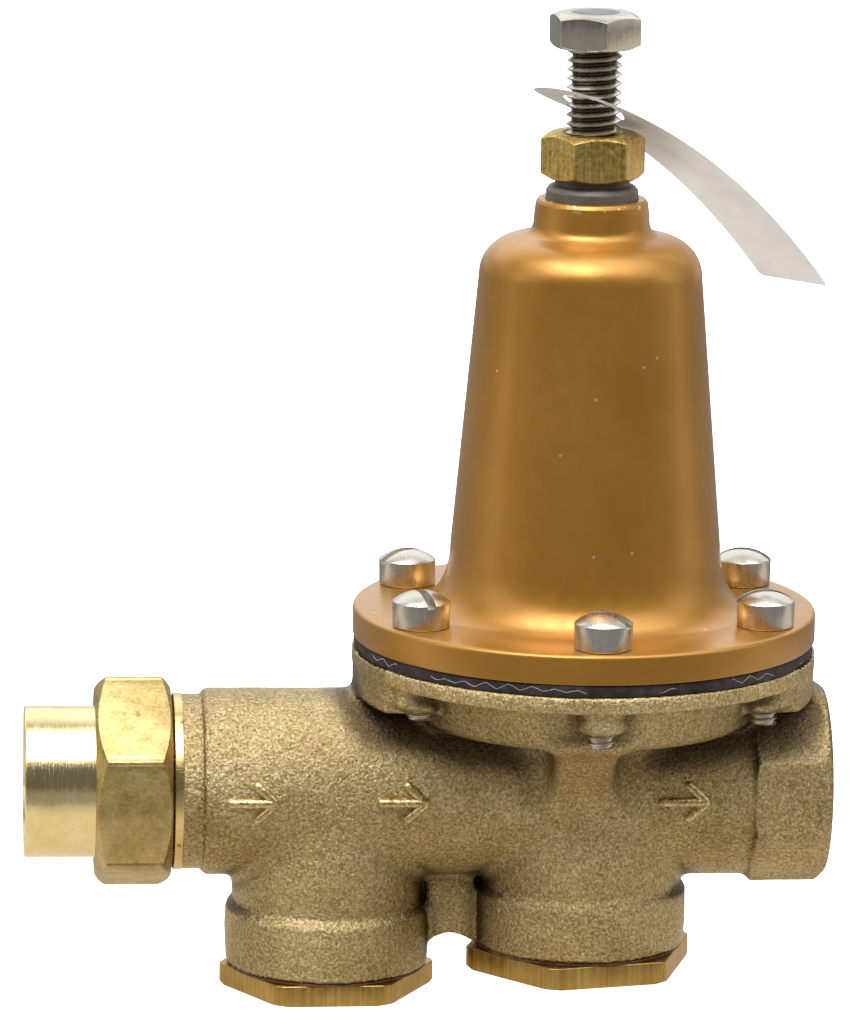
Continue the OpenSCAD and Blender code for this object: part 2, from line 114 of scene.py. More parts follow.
def place(name, parts, body, nodes, slot, smooth=40, finish=None):
    """Joins (vertices, faces) parts in mm into one object that rides on a body for CAD nodes."""
    bm = bmesh.new()
    for vertices, faces in parts:
        made = [bm.verts.new(((v[0] + AXIS_X) * MM, v[1] * MM, v[2] * MM)) for v in vertices]
        for face in faces:
            corners = [made[i] for i in face]
            if len(set(corners)) > 2:
                bm.faces.new(corners)
    bmesh.ops.remove_doubles(bm, verts=bm.verts, dist=2e-7)
    bmesh.ops.dissolve_degenerate(bm, edges=bm.edges, dist=1e-7)
    bmesh.ops.recalc_face_normals(bm, faces=bm.faces)
    mesh = bpy.data.meshes.new(name)
    bm.to_mesh(mesh)
    bm.free()
    return adopt(name, mesh, body, nodes, slot, smooth, finish)


def adopt(name, mesh, body, nodes, slot, smooth=40, finish=None):
    """Makes an object of a finished mesh, shades it and hands it to its body. A finish names the
    material where it isn't the slot's. For a piece that bends, body holds two bodies and the
    points (in mm, about the bonnet's axis) where each takes over; these are not read, and such a
    piece goes to no body: its place is baked into its mesh."""
    mesh.shade_smooth()
    mesh.set_sharp_from_angle(angle=math.radians(smooth))
    mesh.materials.append(MATERIALS[finish or slot])
    piece = bpy.data.objects.new(name, mesh)
    bpy.context.scene.collection.objects.link(piece)
    if isinstance(body, str):
        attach(piece, body)
    else:
        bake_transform(piece)
    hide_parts(*nodes)
    return piece


def rounded(points, default=0.3, steps=3):
    """Closed outline with rounded corners; a third number in a point is its own radius."""
    out = []
    for i, point in enumerate(points):
        here = np.array(point[:2], float)
        radius = point[2] if len(point) > 2 else default
        back = np.array(points[i - 1][:2], float) - here
        ahead = np.array(points[(i + 1) % len(points)][:2], float) - here
        back_len, ahead_len = np.hypot(*back), np.hypot(*ahead)
        back, ahead = back / back_len, ahead / ahead_len
        angle = math.acos(np.clip(back @ ahead, -1, 1))
        if radius == 0 or here[0] == 0 or angle > 3.1:
            out.append(here)
            continue
        cut = min(radius / math.tan(angle / 2), 0.48 * back_len, 0.48 * ahead_len)
        radius = cut * math.tan(angle / 2)
        centre = here + (back + ahead) / np.hypot(*(back + ahead)) * radius / math.sin(angle / 2)
        start = math.atan2(*(here + back * cut - centre)[::-1])
        turn = math.atan2(*(here + ahead * cut - centre)[::-1]) - start
        turn = (turn + math.pi) % (2 * math.pi) - math.pi
        for k in range(steps + 1):
            a = start + turn * k / steps
            out.append(centre + radius * np.array([math.cos(a), math.sin(a)]))
    return out


def arc(centre, radii, start, end, steps):
    """Points on an elliptical arc, in degrees."""
    turns = np.radians(np.linspace(start, end, steps + 1))
    return [(centre[0] + radii[0] * math.cos(a), centre[1] + radii[1] * math.sin(a)) for a in turns]


def columns(outlines, angles):
    """Skin over closed (radius, height) outlines that stand at angles around Z."""
    grid = np.array(outlines, float)
    around, along = grid.shape[:2]
    c, s = np.cos(angles)[:, None], np.sin(angles)[:, None]
    vertices = np.stack([grid[..., 0] * c, grid[..., 0] * s, grid[..., 1]], -1).reshape(-1, 3)
    faces = []
    for i in range(around):
        j = (i + 1) % around
        for k in range(along):
            n = (k + 1) % along
            faces.append((i * along + k, j * along + k, j * along + n, i * along + n))
    return vertices, faces


def tube(rings):
    """Skin over a row of rings that have equal counts of points, with a flat cap at each end."""
    size = len(rings[0])
    faces = [(i * size + k, (i + 1) * size + k, (i + 1) * size + (k + 1) % size, i * size + (k + 1) % size)
             for i in range(len(rings) - 1) for k in range(size)]
    faces += [tuple(range(size)), tuple((len(rings) - 1) * size + k for k in range(size))]
    return [point for ring in rings for point in ring], faces


def turned(outline, segments=128):
    """Closed outline turned about Z."""
    return columns([outline] * segments, np.arange(segments) * 2 * math.pi / segments)


def hex_radius(angle, af, corner):
    """Distance from centre to the side of a hexagon whose corners have a radius."""
    off = (angle + math.pi / 6) % (math.pi / 3) - math.pi / 6
    side = af / 2 / math.cos(math.pi / 6 - abs(off))
    centre = (af / 2 - corner) / math.cos(math.pi / 6)
    inside = corner ** 2 - (centre * math.sin(off)) ** 2
    return min(side, centre * math.cos(off) + math.sqrt(inside)) if inside > 0 else side


def hexagon(af, span, faces_r, inner, turn=0, corner=0.3, slope=30, soft=0.12, turned_r=99):
    """Hexagonal bar about Z with turned corners and chamfers; inner is its inside outline, top to bottom."""
    cut = 30 - math.degrees(math.acos(min(1, af / 2 / turned_r))) if turned_r < 99 else 1.2
    steps = [0, cut * 0.5, cut, cut + 0.7, cut + 2.2, 5.4, 8, 12, 17, 23]
    angles, outlines = [], []
    for side in range(6):
        for step in [-s for s in steps[:0:-1]] + steps + [30]:
            local = math.radians(side * 60 + step)
            r = min(hex_radius(local, af, corner), turned_r)
            low, high = min(faces_r[0], r - 0.15), min(faces_r[1], r - 0.15)
            drop = math.tan(math.radians(slope))
            angles.append(local + math.radians(turn))
            outlines.append(rounded([
                (low, span[0], soft), (r, span[0] + (r - low) * drop, soft),
                (r, span[1] - (r - high) * drop, soft), (high, span[1], soft),
                *[(*p, 0) for p in inner]], steps=2))
    return columns(outlines, np.array(angles))


def moved(part, shift):
    return np.array(part[0]) + np.array(shift), part[1]


def laid(part):
    """Turns a part drawn about Z so that it lies along X, with its top at high X."""
    v = np.array(part[0])
    return np.stack([v[:, 2], v[:, 1], -v[:, 0]], 1), part[1]


def spun(part, degrees):
    a = math.radians(degrees)
    v = np.array(part[0])
    return np.stack([v[:, 0] * math.cos(a) - v[:, 1] * math.sin(a),
                     v[:, 0] * math.sin(a) + v[:, 1] * math.cos(a), v[:, 2]], 1), part[1]


def freed(bm):
    """The (vertices, faces) of a bmesh, which is then freed."""
    bm.verts.index_update()
    part = [tuple(v.co) for v in bm.verts], [[v.index for v in f.verts] for f in bm.faces]
    bm.free()
    return part


# One turn of a thread: share of the pitch, share of the depth below the crest
THREAD_FORM = [(0, 0.04), (0.02, 0), (0.105, 0), (0.125, 0.04), (0.42, 0.92), (0.47, 0.99),
               (0.5625, 1), (0.655, 0.99), (0.705, 0.92)]


def thread(major, depth, pitch, span, segments=72):
    """Closed right-hand threaded rod about Z, cut flat at both ends."""
    rows_per_turn = len(THREAD_FORM)
    turns = math.ceil((span[1] - span[0]) / pitch) + 2
    rows = [(span[0] + pitch * (n - 1 + share), major - depth * down)
            for n in range(turns) for share, down in THREAD_FORM]
    vertices, faces = [], []
    for z, r in rows:
        for k in range(segments):
            a = 2 * math.pi * k / segments
            vertices.append((r * math.cos(a), r * math.sin(a), z + pitch * k / segments))
    for i in range(len(rows) - 1):
        for k in range(segments - 1):
            a = i * segments + k
            faces.append((a, a + 1, a + segments + 1, a + segments))
        seam = i + rows_per_turn
        if seam + 1 < len(rows):
            faces.append((i * segments + segments - 1, seam * segments,
                          (seam + 1) * segments, (i + 1) * segments + segments - 1))
    bm = bmesh.new()
    made = [bm.verts.new(v) for v in vertices]
    for face in faces:
        bm.faces.new([made[i] for i in face])
    for z, out in ((span[0], -1), (span[1], 1)):
        bmesh.ops.bisect_plane(bm, geom=bm.verts[:] + bm.edges[:] + bm.faces[:], dist=1e-5,
                               plane_co=(0, 0, z), plane_no=(0, 0, out), clear_outer=True)
    loose = [v for v in bm.verts if not v.link_faces]
    bmesh.ops.delete(bm, geom=loose, context="VERTS")
    bmesh.ops.remove_doubles(bm, verts=bm.verts, dist=1e-4)
    rims = [e for e in bm.edges if e.is_boundary]
    bmesh.ops.holes_fill(bm, edges=rims, sides=0)
    return freed(bm)


def coil(radius, wire, span, turns, sides=12, per_turn=40, closed=0.9, part=(0, 1)):
    """Round wire wound about Z with its end turns laid close, or the given part of its length."""
    count = int(turns * per_turn * (part[1] - part[0]))
    share = np.linspace(*part, count + 1)
    turn_at = share * turns
    lift = span[1] - span[0] - 2 * wire
    dead = closed * 2 * wire
    rise = np.interp(turn_at, [0, closed, turns - closed, turns], [0, dead, lift - dead, lift])
    angle = turn_at * 2 * math.pi
    slope = np.gradient(rise, angle)
    around = np.arange(sides) * 2 * math.pi / sides
    rings = []
    for a, z, m in zip(angle, rise, slope):
        out = np.array([math.cos(a), math.sin(a), 0])
        along = np.array([-math.sin(a) * radius, math.cos(a) * radius, m])
        up = np.cross(out, along / np.linalg.norm(along))
        centre = out * radius + [0, 0, span[0] + wire + z]
        rings.append([centre + wire * (out * math.cos(b) + up * math.sin(b)) for b in around])
    return tube(rings)


# ---------------------------------------------------------------- materials

class Graph:
    """A node tree being built. Each input takes a socket or a plain value."""

    def __init__(self, tree):
        self.tree = tree

    def add(self, kind, inputs=(), **props):
        node = self.tree.nodes.new(kind)
        for key, value in props.items():
            setattr(node, key, value)
        for key, value in dict(inputs).items():
            self.feed(node.inputs[key], value)
        return node

    def feed(self, socket, value):
        if isinstance(value, bpy.types.NodeSocket):
            self.tree.links.new(value, socket)
        else:
            socket.default_value = value

    def maths(self, operation, a, b=0.0):
        return self.add("ShaderNodeMath", {0: a, 1: b}, operation=operation).outputs[0]

    def weighted(self, a, b, share):
        """Mean of two values, in which the first has this share."""
        return self.maths("ADD", self.maths("MULTIPLY", a, share), self.maths("MULTIPLY", b, 1 - share))

    def steps(self, value, low, high, to_low=0.0, to_high=1.0):
        """Smooth step of a value between low and high."""
        ends = {"Value": value, "From Min": low, "From Max": high, "To Min": to_low, "To Max": to_high}
        return self.add("ShaderNodeMapRange", ends, interpolation_type="SMOOTHSTEP").outputs["Result"]


class Shader(Graph):
    """A node material on one principled shader, with coordinates in metres."""

    def __init__(self, name, **sockets):
        self.material = bpy.data.materials.new(name)
        self.material.use_nodes = True
        super().__init__(self.material.node_tree)
        self.surface = self.tree.nodes["Principled BSDF"]
        self.where = self.add("ShaderNodeTexCoord").outputs["Object"]
        for key, value in sockets.items():
            self.set(key.replace("_", " ").title().replace("Ior", "IOR"), value)

    def set(self, key, value):
        self.feed(self.surface.inputs[key], value)

    def done(self, colour, roughness, normal):
        """The material, with its main sockets fed."""
        self.set("Base Color", colour)
        self.set("Roughness", roughness)
        self.set("Normal", normal)
        return self.material

    def stretched(self, scale, shift):
        inputs = {"Vector": self.where, "Scale": scale, "Location": shift}
        return self.add("ShaderNodeMapping", inputs).outputs[0]

    def noise(self, size, detail=3, rough=0.5, stretch=(1, 1, 1), shift=(0, 0, 0)):
        """Noise whose features are about size mm across, longer along an axis with stretch over 1."""
        vector = self.stretched(tuple(1 / (size * MM * s) for s in stretch), shift)
        inputs = {"Vector": vector, "Scale": 1.0, "Detail": detail, "Roughness": rough}
        return self.add("ShaderNodeTexNoise", inputs).outputs["Fac"]

    def cells(self, size):
        """Distance from the nearest of scattered points about size mm apart, as a share of size."""
        vector = self.stretched((1 / size / MM,) * 3, (0, 0, 0))
        return self.add("ShaderNodeTexVoronoi", {"Vector": vector, "Scale": 1.0}).outputs["Distance"]

    def ramp(self, value, *stops):
        node = self.add("ShaderNodeValToRGB", {"Fac": value})
        points = node.color_ramp.elements
        while len(points) < len(stops):
            points.new(0.5)
        for point, (at, colour) in zip(points, stops):
            point.position = at
            point.color = (*colour, 1)
        return node.outputs["Color"]

    def mix(self, share, a, b):
        first, second = [v if isinstance(v, bpy.types.NodeSocket) else (*v, 1) for v in (a, b)]
        return self.add("ShaderNodeMix", {0: share, 6: first, 7: second}, data_type="RGBA").outputs[2]

    def bump(self, height, depth, below=None):
        """Bump of depth mm, laid on the normal below."""
        inputs = {"Height": height, "Distance": depth * MM, "Strength": 1.0}
        if below is not None:
            inputs["Normal"] = below
        return self.add("ShaderNodeBump", inputs).outputs["Normal"]

    def axis(self, index):
        return self.add("ShaderNodeSeparateXYZ", {0: self.where}).outputs[index]

    def attribute(self, name):
        return self.add("ShaderNodeAttribute", attribute_name=name).outputs["Fac"]


def cast_bronze(name, depth, light=1.0):
    """Grainy casting, smooth where it was cut (machined), with painted shade darkening its hollows (the
    shade attribute). A light over 1 makes a lighter copy of it: painted light.
    """
    s = Shader(name, metallic=1.0)
    grain = s.noise(0.5, 4, 0.66)
    pits = s.noise(1.5, 4, 0.55)
    patches = s.noise(12, 3, 0.5)
    stops = ((0.36, (0.24, 0.165, 0.07)), (0.5, (0.46, 0.345, 0.16)), (0.64, (0.72, 0.59, 0.35)))
    # painted light: a light over 1 brightens every colour stop
    lit = [(at, tuple(min(1, c * light) for c in tint)) for at, tint in stops]
    # painted shade: the shade attribute mixes a near-black brown into the hollows
    painted_shade_share = s.steps(s.attribute("shade"), 0.16, 0.58, 0, 0.74)
    colour = s.mix(painted_shade_share, s.ramp(s.weighted(grain, patches, 0.8), *lit), (0.06, 0.035, 0.02))
    cut = s.attribute("machined")
    rough = s.steps(s.noise(0.5, 2, 0.5, shift=(3, 1, 2)), 0.3, 0.7, 0.25, 0.42)
    rough = s.add("ShaderNodeMix", {0: cut, 2: rough, 3: 0.25}).outputs[0]
    height = s.maths("ADD", grain, s.maths("MULTIPLY", pits, 1.2))
    return s.done(colour, rough, s.bump(s.maths("MULTIPLY", height, s.maths("SUBTRACT", 1.0, cut)), depth))


def cage_paint():
    """Metallic lacquer with a few specks, chipped along the neck's rim."""
    s = Shader("cage_paint", metallic=0.6, coat_weight=0.45, coat_roughness=0.2)
    flake = s.noise(0.35, 2, 0.5)
    speck = s.maths("MULTIPLY", s.steps(s.cells(3.4), 0.1, 0.05), s.steps(s.noise(9, 2), 0.56, 0.62))
    colour = s.ramp(s.noise(16, 3, 0.5), (0.3, (0.42, 0.19, 0.02)), (0.7, (0.48, 0.225, 0.03)))
    rim = s.steps(s.axis(2), (CAGE_TOP - 1.6) * MM, (CAGE_TOP - 0.6) * MM)
    chips = s.maths("MULTIPLY", rim, s.steps(s.noise(1.5, 4, 0.6), 0.59, 0.62))
    worn = s.maths("MAXIMUM", s.maths("MULTIPLY", speck, 0.7), chips)
    orange_peel = s.bump(s.noise(3.2, 2), 0.035)
    return s.done(s.mix(worn, colour, (0.72, 0.6, 0.42)), s.steps(s.noise(2.5, 3), 0.3, 0.7, 0.31, 0.4),
                  s.bump(s.maths("ADD", flake, speck), 0.012, orange_peel))


def turned_brass(name, light, dark, along, rough, stain=0.62):
    """Machined brass with tool marks across one axis (0 for X, 2 for Z) and dull stains."""
    s = Shader(name, metallic=1.0)
    stretch = [14, 14, 14]
    stretch[along] = 1
    marks = s.noise(0.22, 3, 0.6, tuple(stretch))
    blot = s.steps(s.noise(3.4, 5, 0.65, shift=(1, 4, 2)), stain, stain + 0.07)
    colour = s.ramp(s.weighted(s.noise(7, 4, 0.6), marks, 0.7), (0.35, dark), (0.62, light))
    worn = s.maths("ADD", marks, s.maths("MULTIPLY", blot, 0.5))
    nicks = s.bump(s.noise(0.9, 4, 0.7, shift=(5, 2, 1)), 0.03)
    return s.done(s.mix(s.maths("MULTIPLY", blot, 0.75), colour, (0.16, 0.09, 0.035)),
                  s.steps(worn, 0.35, 0.9, rough, rough + 0.22), s.bump(marks, 0.012, nicks))


def union_brass():
    """Forged brass with brown stains."""
    s = Shader("union_brass", metallic=1.0)
    grain = s.noise(0.6, 4, 0.6)
    blot = s.steps(s.noise(4.2, 5, 0.65, shift=(2, 1, 7)), 0.63, 0.7)
    colour = s.ramp(s.weighted(s.noise(5, 4, 0.6), grain, 0.6), (0.36, (0.36, 0.255, 0.09)),
                    (0.6, (0.62, 0.48, 0.21)))
    dents = s.bump(s.noise(6, 3, shift=(1, 1, 1)), 0.1)
    return s.done(s.mix(s.maths("MULTIPLY", blot, 0.6), colour, (0.2, 0.13, 0.08)),
                  s.steps(s.noise(1.2, 3), 0.3, 0.7, 0.34, 0.5), s.bump(grain, 0.06, dents))


def plug_brass():
    """Dull amber brass with saw and turning streaks down its sides."""
    s = Shader("plug_brass", metallic=1.0)
    streaks = s.noise(0.55, 4, 0.62, (1, 1, 22))
    colour = s.ramp(s.weighted(streaks, s.noise(6, 3, 0.5), 0.6), (0.34, (0.31, 0.18, 0.05)),
                    (0.5, (0.44, 0.285, 0.08)), (0.66, (0.58, 0.41, 0.14)))
    return s.done(colour, s.steps(streaks, 0.3, 0.7, 0.3, 0.46),
                  s.bump(streaks, 0.05, s.bump(s.noise(1.6, 4, 0.6), 0.05)))


def lock_nut_brass():
    """Bright brass with drawn streaks and grain."""
    s = Shader("lock_nut_brass", metallic=1.0)
    streaks = s.noise(0.5, 4, 0.62, (1, 1, 16))
    grain = s.noise(0.8, 5, 0.65)
    colour = s.ramp(s.weighted(streaks, grain, 0.5), (0.36, (0.38, 0.23, 0.05)),
                    (0.52, (0.68, 0.47, 0.13)), (0.66, (0.86, 0.7, 0.32)))
    return s.done(colour, s.steps(grain, 0.3, 0.7, 0.26, 0.44), s.bump(grain, 0.07, s.bump(streaks, 0.03)))


def bright_steel(name, tint, rough, roots=False):
    """Stainless or plated steel with fine upright draw marks, darker in the adjusting screw's thread roots.
    """
    s = Shader(name, metallic=1.0)
    streaks = s.noise(0.3, 3, 0.6, (1, 1, 18))
    cloud = s.noise(3, 4, 0.6)
    colour = s.ramp(s.weighted(streaks, cloud, 0.5), (0.35, tuple(c * 0.84 for c in tint)), (0.6, tint))
    if roots:
        # darker brown towards the thread roots, by distance from the screw's axis
        x, y = s.maths("SUBTRACT", s.axis(0), AXIS_X * MM), s.axis(1)
        radius = s.maths("SQRT", s.maths("ADD", s.maths("MULTIPLY", x, x), s.maths("MULTIPLY", y, y)))
        colour = s.mix(s.steps(radius, 3.9 * MM, 4.6 * MM, 0.92, 0), colour, (0.05, 0.028, 0.015))
    return s.done(colour, s.steps(s.maths("ADD", streaks, cloud), 0.7, 1.3, rough, rough + 0.16),
                  s.bump(streaks, 0.01, s.bump(s.noise(0.8, 4, 0.65), 0.02)))


def rubber(name, tint, rough=0.55):
    s = Shader(name, ior=1.5)
    cloud = s.noise(2.2, 4, 0.6)
    weave = s.noise(0.4, 3, 0.6)
    lighter = tuple(min(1, c * 2.6 + 0.01) for c in tint)
    return s.done(s.ramp(cloud, (0.38, tint), (0.66, lighter)), s.steps(weave, 0.3, 0.7, rough, rough + 0.2),
                  s.bump(weave, 0.06, s.bump(cloud, 0.12)))


def grey_plastic():
    s = Shader("grey_plastic", ior=1.48)
    colour = s.ramp(s.noise(2.5, 3), (0.3, (0.1, 0.082, 0.068)), (0.7, (0.14, 0.118, 0.102)))
    return s.done(colour, s.steps(s.noise(0.5, 3), 0.3, 0.7, 0.32, 0.46),
                  s.bump(s.noise(0.6, 3, shift=(1, 2, 3)), 0.02))


def tag_aluminium():
    """Dull sheet, brightened by painted light: an emission that grows towards its free end."""
    s = Shader("tag_aluminium", metallic=0.15)
    grain = s.noise(0.7, 4, 0.65, (5, 1, 5))
    colour = s.ramp(s.weighted(s.noise(9, 5, 0.65), grain, 0.6), (0.36, (0.7, 0.71, 0.71)),
                    (0.62, (0.88, 0.9, 0.92)))
    # painted light: the sheet emits its own colour, more towards its free end
    s.set("Emission Color", colour)
    s.set("Emission Strength", s.steps(s.axis(0), (AXIS_X + 8) * MM, (AXIS_X + 20) * MM, 0.12, 0.42))
    dents = s.bump(s.noise(12, 3, shift=(2, 2, 2)), 0.25)
    return s.done(colour, s.steps(grain, 0.3, 0.7, 0.42, 0.6), s.bump(grain, 0.012, dents))


def fabric_thread():
    s = Shader("fabric_thread", sheen_weight=0.4)
    twist = s.noise(0.25, 2)
    s.set("Base Color", s.ramp(twist, (0.35, (0.32, 0.31, 0.32)), (0.65, (0.62, 0.61, 0.6))))
    s.set("Roughness", s.steps(twist, 0.3, 0.7, 0.6, 0.8))
    return s.material


STEELS = {
    "stainless": ((0.66, 0.62, 0.55), 0.2),
    "screw_steel": ((0.68, 0.62, 0.53), 0.13, True),
    "plated_steel": ((0.62, 0.62, 0.62), 0.3),
    "spring_steel": ((0.3, 0.3, 0.31), 0.34),
    "screen_steel": ((0.6, 0.6, 0.59), 0.28),
}
MATERIALS = {
    "cast_bronze": cast_bronze("cast_bronze", 0.34),
    # painted light: the raised flow arrows get a lighter copy of the bronze
    "cast_marks_painted_light": cast_bronze("cast_marks_painted_light", 0.12, 1.35),
    # painted light: the flange rim gets a lighter copy of the bronze
    "rim_bronze_painted_light": cast_bronze("rim_bronze_painted_light", 0.3, 1.3),
    "cage_paint": cage_paint(),
    "diaphragm_rubber": rubber("diaphragm_rubber", (0.016, 0.01, 0.009)),
    "seal_rubber": rubber("seal_rubber", (0.07, 0.032, 0.014), 0.5),
    "small_brass": turned_brass("small_brass", (0.84, 0.66, 0.3), (0.6, 0.43, 0.17), 2, 0.22),
    "tail_brass": turned_brass("tail_brass", (0.95, 0.8, 0.45), (0.82, 0.64, 0.31), 0, 0.13, 0.66),
    "plug_brass": plug_brass(),
    "union_brass": union_brass(),
    "lock_nut_brass": lock_nut_brass(),
    "grey_plastic": grey_plastic(),
    "tag_aluminium": tag_aluminium(),
    "fabric_thread": fabric_thread(),
    **{name: bright_steel(name, *look) for name, look in STEELS.items()},
}


# ---------------------------------------------------------------- cast body

def rod(p, axis, span, radius, rim=0.5, at=(0.0, 0.0)):
    """Distance to a cylinder along X (axis 0) or Z (axis 2) with rounded rims."""
    u, v = [i for i in range(3) if i != axis]
    ring = np.hypot(p[..., u] - at[0], p[..., v] - at[1]) - radius + rim
    end = np.abs(p[..., axis] - (span[0] + span[1]) / 2) - (span[1] - span[0]) / 2 + rim
    corner = np.hypot(np.maximum(ring, 0), np.maximum(end, 0))
    return corner + np.minimum(np.maximum(ring, end), 0) - rim


def blended(a, b, k):
    """Union of two distances with a fillet about k mm wide."""
    h = np.clip(0.5 + 0.5 * (b - a) / k, 0, 1)
    return b * (1 - h) + a * h - k * h * (1 - h)


def carved(a, b, k=0.4):
    """First distance with the second cut out of it."""
    return -blended(-a, b, k)


def outline_distance(u, v, outline):
    """Signed distance to a closed outline in a plane."""
    points = np.array(outline, float)
    nearest = np.full(u.shape, 1e9)
    inside = np.zeros(u.shape, bool)
    for (ax, ay), (bx, by) in zip(points, np.roll(points, -1, 0)):
        ex, ey = bx - ax, by - ay
        if ex == 0 and ey == 0:
            continue
        t = np.clip(((u - ax) * ex + (v - ay) * ey) / (ex * ex + ey * ey), 0, 1)
        nearest = np.minimum(nearest, (u - ax - t * ex) ** 2 + (v - ay - t * ey) ** 2)
        if ey != 0:
            inside ^= ((ay > v) != (by > v)) & (u < ax + (v - ay) * ex / ey)
    return np.where(inside, -1, 1) * np.sqrt(nearest)


# The cast body's own sizes: (radius, height, corner radius) outlines about the chambers' axes, and places
RIM_Z = 21.3
BOWL = rounded([
    (0, 9), (22, 12, 1), (29.8, 12.3, 0.8), (31.1, 13.4, 0.8), (32.4, 17, 1.5), (33.8, 20.2, 1.2),
    (37, 21, 0.5), (FLANGE_R - 0.4, RIM_Z + 0.3, 0.5), (FLANGE_R - 0.4, FLANGE_TOP, 0.2), (0, FLANGE_TOP)],
    steps=4)
SEAT_CHAMBER = rounded([
    (0, SEAT_BASE), (18.7, SEAT_BASE, 0.6), (18.95, -24, 4), (18.9, -19.0, 0.7), (17.9, -17.7, 0.7),
    (18.5, -12, 3), (18.4, 20, 0), (0, 20)], steps=4)
STRAINER_CHAMBER = rounded([
    (0, STRAINER_BASE), (17.8, STRAINER_BASE, 0.6), (18.15, -26, 4), (17.95, -22.3, 0.7), (16.8, -20.9, 0.7),
    (17.15, -15, 3), (16.9, -8, 3), (15.9, 0, 3), (13, 6, 0), (0, 6)], steps=4)
OCTAGON_AF = 33.5
BOSS_X = 29.5
ARCH_X = -23
ARCH_R = 5.5
WEB_HALF = 3
SKIRT_Z = 16.3
SKIRT_HALF = 18.6
RIB_X = [-7, 4]
RIB_FOOT = [-15, -3]       # where the rib's slanted front starts, along Y and Z
RIB_RUN = [15, 16]
RIB_TOP = 13
COLLAR_X = [-71.9, -70.2]  # shoulder that ends the union's thread
ARROW_X = [-58, -32, 17]


def shared(distances, k):
    """Region inside every distance, its edges rounded by about k mm."""
    d = distances[0]
    for other in distances[1:]:
        d = -blended(-d, -other, k)
    return d


def octagonal_boss(p):
    """Octagonal end of the outlet with soft edges and a turned chamfer."""
    half = OCTAGON_AF / 2
    y, z = p[..., 1], p[..., 2]
    sides = [np.abs(y * np.cos(a) + z * np.sin(a)) - half for a in np.radians([0, 45, 90, 135])]
    chamfer = (np.hypot(y, z) - half + 0.5 + p[..., 0] - OUTLET_X) / math.sqrt(2)
    ends = np.maximum(BOSS_X - p[..., 0], p[..., 0] - OUTLET_X)
    return shared([np.maximum(shared(sides, 0.4), ends), chamfer], 0.5)


def casting(p):
    """Signed distance to the cast body."""
    x, y, z = p[..., 0], p[..., 1], p[..., 2]
    d = rod(p, 0, TUBE_X, TUBE_R, 1.2)
    d = blended(d, rod(p, 0, [TUBE_X[0] - 3.6, 0], 15.4, 0.3), 0.4)
    d = blended(d, rod(p, 0, [0, BOSS_X + 2], 16.5, 0.8), 0.8)
    d = blended(d, octagonal_boss(p), 2.2)

    # Flange with its bowl, the deeper edge over the pipe ends, and a lug under each screw
    radius = np.hypot(x, y)
    bowl = outline_distance(radius, z, BOWL)
    skirt = shared([radius - FLANGE_R + 0.07, SKIRT_Z - z, np.abs(y) - SKIRT_HALF, z - FLANGE_TOP], 0.8)
    for a in BOLT_ANGLES:
        at = (BOLT_CIRCLE_R * math.cos(a), BOLT_CIRCLE_R * math.sin(a))
        lug = rod(p, 2, [LUG_END_Z, FLANGE_TOP - 1], 4.1, 0.9, at)
        lip = rod(p, 2, [LUG_END_Z + 0.5, FLANGE_TOP - 1], 4.4, 1.2, (at[0] * 1.026, at[1] * 1.026))
        bowl = blended(bowl, blended(lug, lip, 0.5), 0.8)
    seat = outline_distance(radius, z, SEAT_CHAMBER)
    d = blended(d, blended(seat, blended(bowl, skirt, 1.2), 4.5), 1.7)

    # Rib below the front lug, strainer chamber, and the arched web between the chambers
    beyond = -RIB_RUN[1] * (y - RIB_FOOT[0]) - RIB_RUN[0] * (z - RIB_FOOT[1])
    slant = beyond / math.hypot(*RIB_RUN)
    sides = np.abs(x - sum(RIB_X) / 2) - (RIB_X[1] - RIB_X[0]) / 2
    d = blended(d, shared([sides, slant, z - RIB_TOP, y + 12], 2.5), 3.6)
    d = blended(d, outline_distance(np.hypot(x - STRAINER_X, y), z, STRAINER_CHAMBER), 1.9)
    panel = shared([np.abs(y) - WEB_HALF - 1.5, np.abs(x - ARCH_X) - 4.4], 0.5)
    web = np.minimum(panel, np.maximum(np.abs(y) - WEB_HALF + 1.2, np.abs(x - ARCH_X) - 7))
    web = np.maximum(web, np.maximum(z + 10, SEAT_BASE + 0.4 - z))
    web = shared([web, ARCH_R - np.hypot(x - ARCH_X, z - STRAINER_BASE)], 0.6)
    d = blended(d, web, 0.9)

    d = blended(d, rod(p, 0, [SPIGOT_X, COLLAR_X[1]], SPIGOT_R, 0.4), 0.3)
    d = blended(d, rod(p, 0, COLLAR_X, 15.2, 0.3), 0.3)
    return np.maximum(d, z - FLANGE_TOP)


def waterways(p):
    """Signed distance to everything cut out of the casting."""
    mid = (STRAINER_X, 0.0)
    thread_r = PLUG_R + 0.05
    cuts = [   # axis, span, radius, rim and place across the axis
        (0, [SPIGOT_X - 1, -66], PORT_R, 0),
        (0, [-67, STRAINER_X], 6, 0, (0, 5.4)),
        (2, [-1, 10.5], 12, 1, mid),
        (2, [-5, 0], 9.05, 0, mid),
        (2, [STRAINER_BASE + PLUG_BORE_H, -4], CHAMBER_R, 0.5, mid),
        (2, [STRAINER_BASE - 1, STRAINER_BASE + PLUG_BORE_H + 1], thread_r, 0, mid),
        (0, [STRAINER_X + 8, -8], 4.4, 0, (0, -10.2)),
        (2, [SEAT_BASE + PLUG_BORE_H, -5.2], CHAMBER_R, 0.5),
        (2, [SEAT_BASE - 1, SEAT_BASE + PLUG_BORE_H + 1], thread_r, 0),
        (2, [-6.2, 1.4], 8.05, 0),
        (2, [0.4, 14], 12, 1),
        (0, [4, 25], 6.6, 0, (0, 7.6)),
        (0, [22, OUTLET_X - 13], 11, 0.5),
        (0, [OUTLET_X - 14, OUTLET_X + 1], 13.3, 0),
        (2, [17, FLANGE_TOP + 1], 26, 1),
        (2, [13, 18], 6.05, 0),
    ]
    return np.minimum.reduce([rod(p, *cut) for cut in cuts])


def body_distance(p):
    return carved(casting(p), waterways(p))


